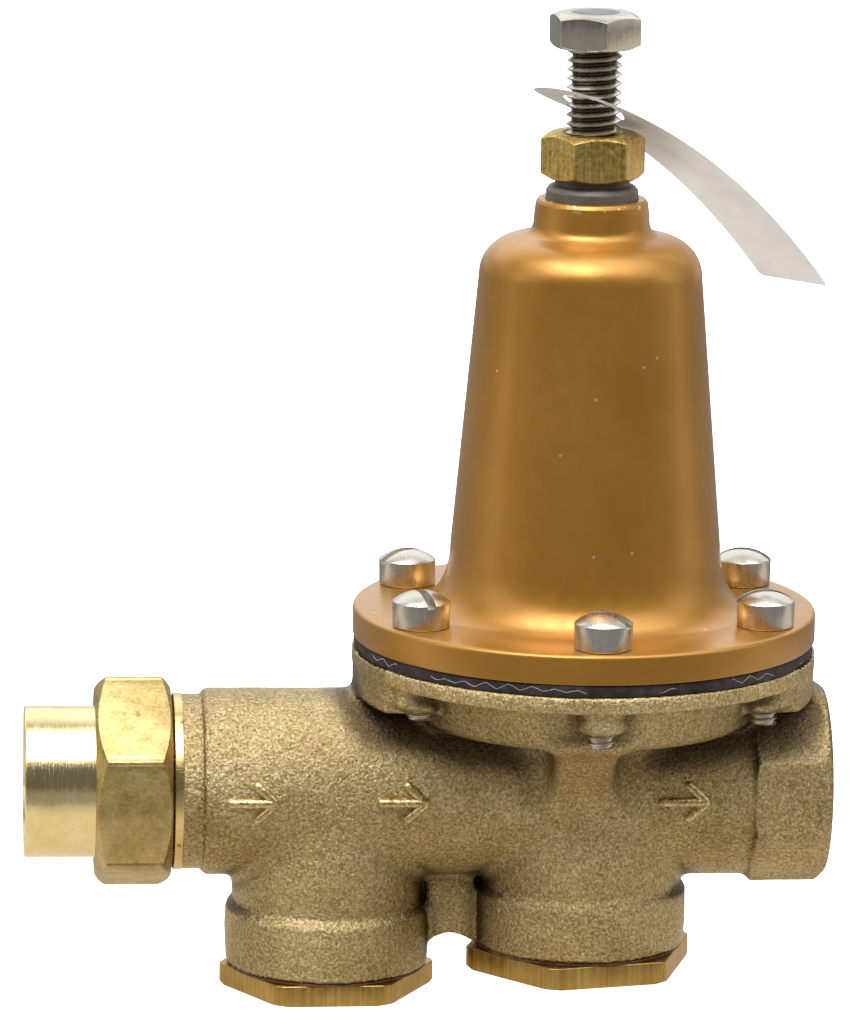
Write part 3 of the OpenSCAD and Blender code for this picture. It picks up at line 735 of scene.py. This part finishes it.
def surface_net(field, low, step):
    """Surface where a sampled field changes sign: a vertex in each crossed cell, a quad for each edge."""
    shape = np.array(field.shape)
    total = int(shape.prod())
    sums, counts = np.zeros((3, total)), np.zeros(total)
    quads = []
    for axis in range(3):
        u, v = (axis + 1) % 3, (axis + 2) % 3
        lower = np.delete(field, -1, axis)
        upper = np.delete(field, 0, axis)
        found = np.argwhere((lower < 0) != (upper < 0))
        a, b = lower[tuple(found.T)], upper[tuple(found.T)]
        point = found.astype(float)
        point[:, axis] += a / (a - b)
        corners = []
        for du, dv in ((0, 0), (1, 0), (1, 1), (0, 1)):
            cell = found.copy()
            cell[:, u] -= du
            cell[:, v] -= dv
            index = np.ravel_multi_index(cell.T, shape)
            corners.append(index)
            counts += np.bincount(index, minlength=total)
            for k in range(3):
                sums[k] += np.bincount(index, point[:, k], total)
        quad = np.stack(corners, 1)
        quads.append(np.where((a < 0)[:, None], quad, quad[:, ::-1]))
    quads = np.concatenate(quads)
    used, faces = np.unique(quads, return_inverse=True)
    points = (sums[:, used] / counts[used]).T * step + low
    return points, faces.reshape(-1, 4)


def slope_of(points, distance, h):
    """A distance at points, and its rise along X, Y and Z."""
    here = distance(points)
    return here, np.stack([distance(points + h * np.eye(3)[k]) - here for k in range(3)], 1) / h


def settled(points, distance, step, rounds=4):
    """Moves points onto the surface where the distance is zero."""
    for _ in range(rounds):
        here, slope = slope_of(points, distance, 0.04)
        size = np.maximum((slope ** 2).sum(1), 0.25)
        points = points - np.clip(here, -step / 2, step / 2)[:, None] * slope / size[:, None]
    return points


def ripple(points):
    """Slow unevenness of a sand casting, from -1 to 1."""
    x, y, z = points.T
    waves = (np.sin(x * 0.31 + 1.3 * np.sin(y * 0.17)) + np.sin(y * 0.37 + z * 0.21 + 2)
             + np.sin(z * 0.43 - x * 0.13 + 4) + 0.6 * np.sin(x * 0.9 + z * 0.8) * np.sin(y * 0.85 + 1))
    return waves / 3.6


def stroke(start, end, half, height):
    """Half-round raised stroke on the front of the tube between two (x, z) points."""
    start, end = np.array(start, float), np.array(end, float)
    length = np.hypot(*(end - start))
    along = (end - start) / length
    across = np.array([-along[1], along[0]])
    cap = half * np.cos(np.radians([0, 20, 45, 70]))
    rings = []
    for s in [*-cap, *np.linspace(0, length, 7), *(length + cap[::-1])]:
        past = max(-s, s - length, 0)
        width = half * math.sqrt(max(1 - (past / half) ** 2, 0.003))
        rise = height * width / half
        top = [(math.cos(b), rise * math.sin(b) ** 0.8) for b in np.radians(np.linspace(0, 180, 11))[1:-1]]
        ring = []
        for offset, up in [(1, -0.15), *top, (-1, -0.15), (-0.9, -1), (0.9, -1)]:
            x, z = start + along * s + across * width * offset
            ring.append((x, -math.sqrt(TUBE_R ** 2 - z ** 2) - up, z))
        rings.append(ring)
    return tube(rings)


def build_flow_arrows():
    parts = []
    for x in ARROW_X:
        parts.append(stroke((x - 4.2, 0), (x + 3.4, 0), 0.85, 0.95))
        parts += [stroke((x + 0.4, 3 * side), (x + 3.5, 0.1 * side), 0.8, 0.9) for side in (1, -1)]
    # the arrows' bronze is a lighter copy: painted light
    place("flow_arrows", parts, "housing", [], "cast_bronze", 60, "cast_marks_painted_light")


def build_flange_rim():
    """Outer edge of the body flange, a little wavy as cast."""
    inner, top = 35, FLANGE_TOP - 0.03
    angles = np.arange(288) * 2 * math.pi / 288
    outlines = []
    for a in angles:
        wave = 0.05 * math.sin(5 * a + 2) + 0.03 * math.sin(23 * a) + 0.02 * math.sin(61 * a + 1)
        r, low = FLANGE_R - 0.1 + wave, RIM_Z + wave + 0.04 * math.sin(31 * a)
        outlines.append(rounded([(inner, low, 0), (r, low, 0.6), (r, top, 0.5), (inner, top, 0)]))
    # its bronze is a lighter copy: painted light
    place("flange_rim", [columns(outlines, angles)], "housing", [], "cast_bronze", 70, "rim_bronze_painted_light")


def build_spigot_ring():
    """Turned ring where the union's thread ends."""
    outline = rounded([(14.9, -71.95), (15.5, -71.95, 0.2), (15.5, -70.4, 0.25), (14.9, -70.1)], 0.1)
    place("spigot_ring", [laid(turned(outline, 160))], "housing", [], "cast_bronze", 30, "small_brass")


def build_body():
    """Mesh of the whole casting, with its cut faces marked for the material and its hollows marked for
    painted shade.
    """
    step = 0.74
    low, high = np.array([span_of("valve_body", axis) for axis in "xyz"]).T
    low, high = low - 1.7 * step, high + 1.7 * step
    counts = np.ceil((high - low) / step).astype(int) + 1
    ticks = [low[k] + step * np.arange(counts[k]) for k in range(3)]
    grid = np.stack(np.meshgrid(*ticks, indexing="ij"), -1)
    points, faces = surface_net(body_distance(grid), low, step)
    points = settled(points, body_distance, step)
    x, y, z = points.T
    radius = np.hypot(y, z)
    machined = ((x > OUTLET_X - 0.25) | ((radius < 13.5) & (x > 20)) | (x < -71.0) | (z > FLANGE_TOP - 0.15)
                | (z < STRAINER_BASE + 0.15) | ((z < SEAT_BASE + 0.15) & (np.abs(x) < 20)))
    normal = slope_of(points, body_distance, 0.05)[1]
    normal /= np.maximum(np.linalg.norm(normal, axis=1), 1e-9)[:, None]
    inward = np.where(machined, 0, 0.12 * (ripple(points) - 1) / 2)
    points = points + normal * inward[:, None]
    mesh = bpy.data.meshes.new("body_casting")
    mesh.from_pydata(((points + [AXIS_X, 0, 0]) * MM).tolist(), [], faces.tolist())
    mesh.attributes.new("machined", "FLOAT", "POINT").data.foreach_set("value", machined.astype(float))
    # painted shade: the less open the space along each point's normal, the higher its shade, which darkens
    # the bronze
    open_share = [np.clip(casting(points + normal * reach) / reach, 0, 1) for reach in (3.0, 7.0, 12.0)]
    shade = np.clip(1 - sum(open_share) / 3, 0, 1)
    mesh.attributes.new("shade", "FLOAT", "POINT").data.foreach_set("value", shade)
    adopt("body_casting", mesh, "housing", ["valve_body"], "cast_bronze", 180)
    mesh.normals_split_custom_set_from_vertices(normal.tolist())


def build_outlet_thread():
    """Tapered pipe thread inside the outlet, as a lining of the port."""
    pitch, depth, taper, length, mouth = 1.814, 1.1, 1 / 32, 14, 0.4
    turns, segments = math.ceil(length / pitch) + 2, 96
    rows = [(pitch * (n + share), down) for n in range(turns) for share, down in THREAD_FORM]
    outlines = []
    for k in range(segments):
        outline = []
        for z, down in rows:
            at = z - pitch * (2 - k / segments)
            crest = 12.9 - depth * (1 - down) - max(at, 0) * taper
            outline.append((crest if mouth < at < length else 13.0, min(max(at, mouth), length)))
        outlines.append(outline + [(13.6, length), (13.6, mouth)])
    around, faces = columns(outlines, np.arange(segments) * 2 * math.pi / segments)
    vertices = np.stack([OUTLET_X - around[:, 2], around[:, 0], around[:, 1]], 1)
    place("outlet_thread", [(vertices, faces)], "housing", [], "cast_bronze", 35, "small_brass")


# ---------------------------------------------------------------- bonnet

def build_cage():
    outside = (arc([29.8, 42.5], [6.2, 42.5 - CAGE_FLANGE_Z], 270, 180, 24)
               + arc([12.6, 90.2], [6.8, 6.8], 0, 82, 18)
               + arc([12.3, 99.5], [2.2, 2.2], 262, 185, 8))
    inside = [(13, 93.5), (16.6, 88), (20.4, 43), (21.3, 37), (24.5, 32), (27, 28), (27, CAGE_Z)]
    screw_bore = SCREW_R + 0.1
    neck = [(9.95, 101.2), (9.75, 103, 0.3), (9.35, CAGE_TOP, 0.35), (8.05, CAGE_TOP, 0.2),
            (8.05, SEAL_Z, 0.1), (screw_bore, SEAL_Z, 0.1), (screw_bore, 93.5, 0.1)]
    flange = [(CAGE_R, CAGE_Z, 0.3), (CAGE_R, CAGE_FLANGE_Z - 0.05, 0.8)]
    outline = rounded(flange + [(*p, 0) for p in outside] + neck + inside, steps=4)
    place("cage_shell", [turned(outline, 192)], "housing", ["spring_cage"], "cage_paint", 60)


SLOT_TURNS = [55, 35, 135, 48, 54, 78]   # turn of each screw's slot, and how much shorter its tip is
SHANK_ENDS = [0, 0, 0, 0.4, 0, 1.0]


def build_cage_screws():
    """Slotted fillister-head screws, cut with one boolean, each with a threaded tip."""
    dome = [(*p, 0) for p in arc([0, -1.54], [7.81, 7.81], 52, 90, 8)]
    head = rounded([(0, 0), (4.95, 0, 0.25), (5.03, 4.4, 0.3)] + dome, steps=3)
    slot = [(x, y, z) for x in (-6, 6) for y in (-0.8, 0.8) for z in (3.9, 8)]
    slot_faces = [(0, 1, 3, 2), (4, 6, 7, 5), (0, 4, 5, 1), (2, 3, 7, 6), (0, 2, 6, 4), (1, 5, 7, 3)]
    foot, top = LUG_END_Z + 1.5, CAGE_FLANGE_Z + 0.5
    plain = turned(rounded([(0, foot), (2.4, foot, 0), (2.4, top, 0), (0, top)]), 32)
    heads, cutters, shanks = [], [], []
    for a, slot_turn, shorter in zip(BOLT_ANGLES, SLOT_TURNS, SHANK_ENDS):
        at = np.array([BOLT_CIRCLE_R * math.cos(a), BOLT_CIRCLE_R * math.sin(a), 0])
        on_flange = at + [0, 0, CAGE_FLANGE_Z]
        heads.append(moved(turned(head, 72), on_flange))
        cutters.append(moved(spun((slot, slot_faces), slot_turn + math.degrees(a)), on_flange))
        tip = thread(2.42, 0.42, 1.058, [SHANK_END_Z + shorter, LUG_END_Z + 2], 48)
        shanks += [moved(tip, at), moved(plain, at)]
    screws = place("cage_screw_set", heads, "housing", ["cage_screws"], "stainless")
    cutter = place("slot_cutter", cutters, "housing", [], "stainless")
    slots = screws.modifiers.new("slots", "BOOLEAN")
    slots.object = cutter
    slots.solver = "EXACT"
    soften = screws.modifiers.new("soften", "BEVEL")
    soften.width = 0.09 * MM
    soften.segments = 2
    soften.limit_method = "ANGLE"
    soften.angle_limit = math.radians(35)
    graph = bpy.context.evaluated_depsgraph_get()
    mesh = bpy.data.meshes.new_from_object(screws.evaluated_get(graph))
    screws.modifiers.clear()
    screws.data = mesh
    bpy.data.objects.remove(cutter)
    mesh.set_sharp_from_angle(angle=math.radians(35))
    place("cage_screw_shanks", shanks, "housing", [], "stainless")


def sheet_edge(a):
    """Radius of the diaphragm's slightly uneven edge at an angle."""
    wave = 0.12 * math.sin(7 * a + 1) + 0.09 * math.sin(17 * a) + 0.05 * math.sin(41 * a + 2)
    return FLANGE_R - 0.42 + wave


def build_diaphragm():
    """Clamped rim of the rubber sheet, its middle that moves with the stem, and the sectors between them,
    which are attached to no body.
    """
    inner, outer = FLEX_R
    angles = np.arange(256) * 2 * math.pi / 256
    outlines = []
    for r in map(sheet_edge, angles):
        edge_points = [(r, FLANGE_TOP, 0.35), (r + 0.08, FLANGE_TOP + 1.1, 0), (r - 0.05, CAGE_Z, 0.35)]
        outlines.append(rounded([(outer, FLANGE_TOP, 0), *edge_points, (outer, CAGE_Z, 0)], steps=3))
    place("diaphragm_sheet", [columns(outlines, angles)], "housing", ["diaphragm"], "diaphragm_rubber")
    disc = [(2.5, FLANGE_TOP), (inner, FLANGE_TOP), (inner, CAGE_Z), (2.5, CAGE_Z)]
    place("diaphragm_middle", [turned(disc)], "stem_assembly", ["diaphragm"], "diaphragm_rubber")
    radii = np.linspace(inner, outer, 17)
    section = [(r, FLANGE_TOP) for r in radii] + [(r, CAGE_Z) for r in radii[::-1]]
    half = math.pi / FLEX_SECTORS
    for k in range(FLEX_SECTORS):
        turn = 2 * half * k
        rings = [[(r * math.cos(a), r * math.sin(a), z) for r, z in section]
                 for a in np.linspace(turn - half, turn + half, 17)]
        vertices, faces = tube(rings)
        size, last = len(section), len(vertices) - len(section)
        caps = [(base + j, base + j + 1, base + size - 2 - j, base + size - 1 - j)
                for base in (0, last) for j in range(len(radii) - 1)]
        ends = [(r * math.cos(turn), r * math.sin(turn), 0) for r in (inner, outer * math.cos(half))]
        bodies = ("stem_assembly", "housing", *ends)
        place(f"diaphragm_sector_{k + 1}", [(vertices, faces[:-2] + caps)], bodies, ["diaphragm"],
              "diaphragm_rubber")


def build_diaphragm_thread():
    """Strand of the fabric that shows in zigzags along the front of the sheet's edge."""
    wire, step = 0.055, 0.35
    around = np.arange(6) * math.pi / 3
    rings = []
    for k, a in enumerate(np.radians(np.arange(-172, -24, step))):
        zig = abs((k * step / 2.9) % 2 - 1) - 0.5
        z = (FLANGE_TOP + CAGE_Z) / 2 + 0.75 * zig + 0.14 * math.sin(k * 0.31) + 0.2 * math.sin(k * 0.043)
        sunk = max(0, math.sin(k * 0.083 + 0.5) + 0.7 * math.sin(k * 0.031) + (0.5 if k > 240 else -0.3))
        r = sheet_edge(a) + 0.05 - 0.3 * min(sunk, 1)
        rings.append([((r + wire * math.cos(b)) * math.cos(a), (r + wire * math.cos(b)) * math.sin(a),
                       z + wire * math.sin(b)) for b in around])
    place("diaphragm_thread", [tube(rings)], "housing", [], "diaphragm_rubber", finish="fabric_thread")


# ---------------------------------------------------------------- adjusting screw and tag

def build_adjusting_screw():
    solid = [(0, HEAD_TOP), (0, HEAD_Z)]
    head = hexagon(14.29, [HEAD_Z, HEAD_TOP], (6.7, 6.3), solid, HEAD_TURN, 0.22, 26, 0.1)
    shoulder = SCREW_TIP + 1.2
    shank = thread(SCREW_R, 0.9, SCREW_PITCH, [SCREW_TIP + 0.8, HEAD_Z + 0.5])
    tip = turned(rounded([(0, SCREW_TIP), (3.3, SCREW_TIP, 0.4), (3.85, shoulder, 0), (0, shoulder)]), 64)
    place("adjusting_bolt", [head, shank, tip], "adjusting_screw", ["adjusting_screw"], "screw_steel", 22)


def build_seal():
    top, bore = NUT_Z[0], SCREW_R + 0.08
    outline = rounded([(8.0, SEAL_Z, 0.1), (8.0, SEAL_STEP_Z - 0.7, 0.35), (7.45, SEAL_STEP_Z, 0.25),
                       (6.5, SEAL_STEP_Z + 0.35, 0.2), (6.45, top - 0.35, 0.2), (6.3, top, 0.15),
                       (bore, top, 0.1), (bore, SEAL_Z, 0.1)])
    place("seal_sleeve", [turned(outline)], "seal_ring", ["seal_ring"], "grey_plastic", 30)


def build_lock_nut():
    low, top = NUT_Z
    bore = SCREW_R + 0.06
    inner = [(bore + 0.7, top), (bore, top - 0.7), (bore, low + 0.5), (bore + 0.5, low)]
    nut = hexagon(15.88, NUT_Z, (7.45, 7.35), inner, LOCK_NUT_TURN, 0.25, 30, 0.12)
    place("jam_nut", [nut], "lock_nut", ["lock_nut"], "lock_nut_brass", 22)


TAG_W = 17.2
TAG_LEN = 54
TAG_TIP = 10.5
TAG_T = 0.3
TAG_AT = np.array([-0.73, 0.48, 119.8])
TAG_HEADING = [12.5, 0.413, 0]
TAG_SLOPE = [23, 0.779, -0.0057]
TAG_ROLL = [12.2, -0.027, -0.0029]
TAG_HOLE_R = 5.3


def tag_frame(s):
    """Directions along and across the strip at one station of its middle line."""
    curves = (TAG_HEADING, TAG_SLOPE, TAG_ROLL)
    heading, slope, roll = [math.radians(c[0] + c[1] * s + c[2] * s * s) for c in curves]
    flat = np.array([math.cos(heading), math.sin(heading), 0])
    level = np.array([-math.sin(heading), math.cos(heading), 0])
    along = flat * math.cos(slope) - [0, 0, math.sin(slope)]
    across = level * math.cos(roll) - np.cross(along, level) * math.sin(roll)
    return along, across


def build_tag():
    """Bent aluminium strip with a round tail and a hole that hangs it on the screw."""
    steps, across_steps = 132, 28
    stations = np.linspace(-TAG_TIP, TAG_LEN, steps + 1)
    zero = int(np.argmin(np.abs(stations)))
    headings, widths = np.array([tag_frame(s) for s in stations]).swapaxes(0, 1)
    middle_line = np.cumsum(headings, 0) * (stations[1] - stations[0])
    middle_line += TAG_AT - middle_line[zero]
    rows = []
    for s, centre, across in zip(stations, middle_line, widths):
        back = TAG_TIP + s - TAG_W / 2
        half = TAG_W / 2 if back >= 0 else math.sqrt(max(0.3, (TAG_W / 2) ** 2 - back * back))
        corner = 0.8 - (TAG_LEN - s)
        half -= 0 if corner <= 0 else 0.8 - math.sqrt(max(0.64 - corner * corner, 0))
        rows.append([centre + across * half * t for t in np.linspace(-1, 1, across_steps + 1)])
    bm = bmesh.new()
    made = [[bm.verts.new(p) for p in row] for row in rows]
    for i in range(steps):
        for k in range(across_steps):
            quad = [made[i][k], made[i + 1][k], made[i + 1][k + 1], made[i][k + 1]]
            centre = sum((v.co for v in quad), Vector()) / 4
            if math.hypot(centre.x, centre.y) > TAG_HOLE_R:
                bm.faces.new(quad)
    for v in list(bm.verts):
        if not v.link_faces:
            bm.verts.remove(v)
        elif any(e.is_boundary for e in v.link_edges) and math.hypot(v.co.x, v.co.y) < TAG_HOLE_R + 1.2:
            pull = TAG_HOLE_R / math.hypot(v.co.x, v.co.y)
            v.co.x, v.co.y = v.co.x * pull, v.co.y * pull
    bmesh.ops.solidify(bm, geom=bm.faces[:], thickness=-TAG_T)
    place("tag_strip", [freed(bm)], "data_tag", ["data_tag"], "tag_aluminium")


# ---------------------------------------------------------------- inlet union and plugs

def build_tailpiece():
    end, face = TAIL_X
    collar, socket_end = face - 2.8, end + 15.7
    outline = rounded([
        (13.3, end, 0.35), (13.3, collar, 0.1), (14.4, collar, 0.2), (14.4, face, 0.3), (PORT_R, face, 0.3),
        (PORT_R, socket_end, 0.2), (11.17, socket_end, 0.1), (11.17, end + 0.6, 0.1), (11.7, end, 0.1)])
    place("union_tail", [laid(turned(outline, 160))], "inlet_tailpiece", ["inlet_tailpiece"], "union_brass",
          30, "tail_brass")


def build_union_nut():
    far, mouth = UNION_X
    shoulder, thread_r = far + 2.55, SPIGOT_R + 0.05
    inner = [(thread_r + 0.7, mouth), (thread_r, mouth - 0.7), (thread_r, shoulder), (13.35, shoulder),
             (13.35, far)]
    nut = hexagon(33.8, UNION_X, (16.3, 16.5), inner, UNION_TURN, 0.7, 32, 0.25)
    place("union_hex", [laid(nut)], "union_nut", ["union_nut"], "union_brass", 30)


def plug(name, body, node, size, seat, at_x, pocket):
    """Hexagonal chamber plug: head below its seat, thread above, and a pocket open at the top.
    Its size is the width across the flats, the corners' radius, the height and the turn."""
    af, corner_r, height, turn = size
    head = hexagon(af, [seat - height, seat], (corner_r - 0.6, corner_r - 0.15),
                   [(0, seat), (0, seat - height)], turn, 0.1, 42, 0.1, corner_r)
    root, first, top = PLUG_R - 0.8, seat + 1.6, seat + PLUG_BORE_H - 1
    outline = [(PLUG_R - 0.9, seat - 0.3, 0), (PLUG_R - 0.9, seat + 1.2, 0.2)]
    for n in range(int((top - first) / SCREW_PITCH)):
        z = first + n * SCREW_PITCH
        outline += [(root, z, 0.1), (PLUG_R, z + 0.6, 0.1), (PLUG_R, z + 0.8, 0.1), (root, z + 1.4, 0.1)]
    outline += [(root, top, 0.3)] + [(r, seat + z, 0.2) for r, z in pocket]
    parts = [moved(part, (at_x, 0, 0)) for part in (head, turned(rounded(outline, steps=2), 96))]
    place(name, parts, body, [node], "plug_brass", 20)


def build_plugs():
    plug("strainer_hex_plug", "strainer_plug", "strainer_plug", (33.4, 18.85, 3.75, 1.5),
         STRAINER_BASE - GASKET_H, STRAINER_X, [(9.05, 8), (9.05, 1.2), (0, 1.2), (0, -0.3)])
    plug("bottom_hex_plug", "bottom_plug", "bottom_plug", (36, 20.4, 4, 12.6), SEAT_BASE - GASKET_H, 0,
         [(11.2, 8), (11.2, 2.5), (5.2, 2.5), (5.2, 4.4), (2.45, 4.4), (2.45, 0.05), (0, 0.05), (0, -0.3)])


def build_gaskets():
    inner = PLUG_R + 0.05
    for name, body, node, at_x, base, outer in (
            ("strainer_seal", "strainer", "strainer_plug_gasket", STRAINER_X, STRAINER_BASE, 17.45),
            ("bottom_seal", "bottom_gasket", "bottom_plug_gasket", 0, SEAT_BASE, 18.3)):
        low = base - GASKET_H
        outline = rounded([(outer, low), (outer, base), (inner, base), (inner, low)], 0.2)
        place(name, [moved(turned(outline), (at_x, 0, 0))], body, [node], "seal_rubber")


def build_springs():
    """The main spring is cut at its middle; each half is listed with the pieces it bears on, but no half is
    attached to a body.
    """
    low, high = SPRING_Z
    half = (low + high) / 2
    lower = ("stem_assembly", "housing", (0, 0, low + 4), (0, 0, half - 6))
    upper = ("housing", "spring_button", (0, 0, half + 6), (0, 0, high - 4))
    closing = ("housing", "stem_assembly", (0, 0, DISC_SPRING_Z[0]), (0, 0, DISC_SPRING_Z[1]))
    for name, part, bodies, node in (
            ("range_spring_lower", coil(13, 2.2, SPRING_Z, 7.5, 16, part=(0, 0.5)), lower, "main_spring"),
            ("range_spring_upper", coil(13, 2.2, SPRING_Z, 7.5, 16, part=(0.5, 1)), upper, "main_spring"),
            ("seat_spring", coil(6.4, 0.5, DISC_SPRING_Z, 6), closing, "disc_spring")):
        place(name, [part], bodies, [node], "spring_steel")


def dress_nodes():
    """CAD nodes that stay: each gets its material."""
    finishes = {
        "plated_steel": ["diaphragm_plate", "diaphragm_washer", "spring_button"],
        "small_brass": ["diaphragm_nut", "stem_guide", "disc_holder", "disc_nut"],
        "stainless": ["valve_stem", "valve_seat"],
        "seal_rubber": ["seat_disc", "union_gasket"],
        "screen_steel": ["strainer_screen"],
    }
    for slot, nodes in finishes.items():
        for node in nodes:
            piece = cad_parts[node]
            piece.data.materials.clear()
            piece.data.materials.append(MATERIALS[slot])


# ---------------------------------------------------------------- stage

def build_floor():
    """Wide white sweep under the valve, clear of the plugs' travel. It glows so that it stays white."""
    half, z = 6.0, (edge("strainer_plug", "z", 0) - PLUG_TRAVEL) * MM
    mesh = bpy.data.meshes.new("floor")
    corners = [(-half, -half, z), (half, -half, z), (half, half, z), (-half, half, z)]
    mesh.from_pydata(corners, [], [(0, 1, 2, 3)])
    s = Shader("floor_paper", roughness=0.9)
    seen = s.add("ShaderNodeLightPath").outputs["Is Camera Ray"]
    close = s.maths("MULTIPLY", s.steps(s.axis(1), -0.16, -0.05), s.steps(s.axis(1), 0.22, 0.08))
    near = s.mix(close, (0.04, 0.036, 0.03), (0.62, 0.54, 0.42))
    s.set("Base Color", s.mix(seen, (0.12, 0.12, 0.12), (0.8, 0.8, 0.8)))
    s.set("Emission Color", s.mix(seen, near, (0.95, 0.95, 0.95)))
    s.set("Emission Strength", 1.0)
    mesh.materials.append(s.material)
    floor = bpy.data.objects.new("floor", mesh)
    bpy.context.scene.collection.objects.link(floor)


def build_world():
    """Studio room: a broad ceiling light, paler side boards, a lit rear wall and a dim front."""
    world = bpy.data.worlds.new("studio")
    world.use_nodes = True
    bpy.context.scene.world = world
    g = Graph(world.node_tree)
    where = g.add("ShaderNodeTexCoord").outputs["Generated"]
    x, y, z = g.add("ShaderNodeSeparateXYZ", {0: where}).outputs
    aside = g.maths("ABSOLUTE", x)
    lift = g.maths("ARCTAN2", z, g.maths("MULTIPLY", y, -1))
    ceiling = g.maths("MULTIPLY", g.steps(lift, 0.68, 0.92), g.steps(lift, 1.6, 1.85, 1, 0.2))
    ceiling = g.maths("MULTIPLY", ceiling, g.steps(aside, 0.45, 0.85, 1, 0.3))
    rear = g.maths("MULTIPLY", g.steps(y, 0.3, 0.6, 0, 0.8), g.steps(z, 0.25, 0.42))
    boards = g.maths("MULTIPLY", g.steps(aside, 0.8, 0.93, 0, 0.3), g.steps(y, 0.22, 0.45, 1, 0))
    backdrop = g.steps(y, 0.95, 0.98, 0, 0.35)
    light = g.maths("ADD", g.maths("MULTIPLY", ceiling, 2.6), 0.14)
    for part in (rear, boards, backdrop):
        light = g.maths("ADD", light, part)
    back = g.tree.nodes["Background"]
    g.feed(back.inputs["Color"], (0.97, 0.985, 1, 1))
    g.feed(back.inputs["Strength"], light)


def build_key_light():
    lamp = bpy.data.lights.new("key_light", "AREA")
    lamp.shape = "RECTANGLE"
    lamp.size, lamp.size_y = 1.1, 0.8
    lamp.energy = 12
    key = bpy.data.objects.new("key_light", lamp)
    offset = Vector((-0.35, -0.6, 1.3))
    key.location = Vector((AXIS_X * MM, 0, 0.03)) + offset
    key.rotation_euler = (-offset).to_track_quat("-Z", "Y").to_euler()
    key.visible_camera = False
    bpy.context.scene.collection.objects.link(key)


def build_camera():
    """Long lens from slightly above and to the inlet's side, as the photograph was taken."""
    yaw, pitch, roll = -0.0758, -0.2062, -0.0151
    turn = (Matrix.Rotation(yaw, 3, "Z") @ Matrix.Rotation(pitch, 3, "X") @ Matrix.Rotation(roll, 3, "Y"))
    right, forward, up = turn.col[0], turn.col[1], turn.col[2]
    camera = bpy.data.objects.new("camera", bpy.data.cameras.new("camera"))
    at = Vector(((AXIS_X - 118.648) * MM, -1195.915 * MM, 299.034 * MM))
    camera.matrix_world = Matrix.Translation(at) @ Matrix([right, up, -forward]).transposed().to_4x4()
    camera.data.sensor_width = 36
    camera.data.lens = 246.97
    camera.data.clip_start, camera.data.clip_end = 0.05, 50
    bpy.context.scene.collection.objects.link(camera)
    bpy.context.scene.camera = camera
    bpy.context.scene.view_settings.view_transform = "Standard"


build_camera()
build_world()
build_key_light()
build_floor()
build_body()
build_flow_arrows()
build_flange_rim()
build_spigot_ring()
build_outlet_thread()
build_cage()
build_cage_screws()
build_diaphragm()
build_diaphragm_thread()
build_adjusting_screw()
build_seal()
build_lock_nut()
build_tag()
build_tailpiece()
build_union_nut()
build_plugs()
build_gaskets()
build_springs()
dress_nodes()
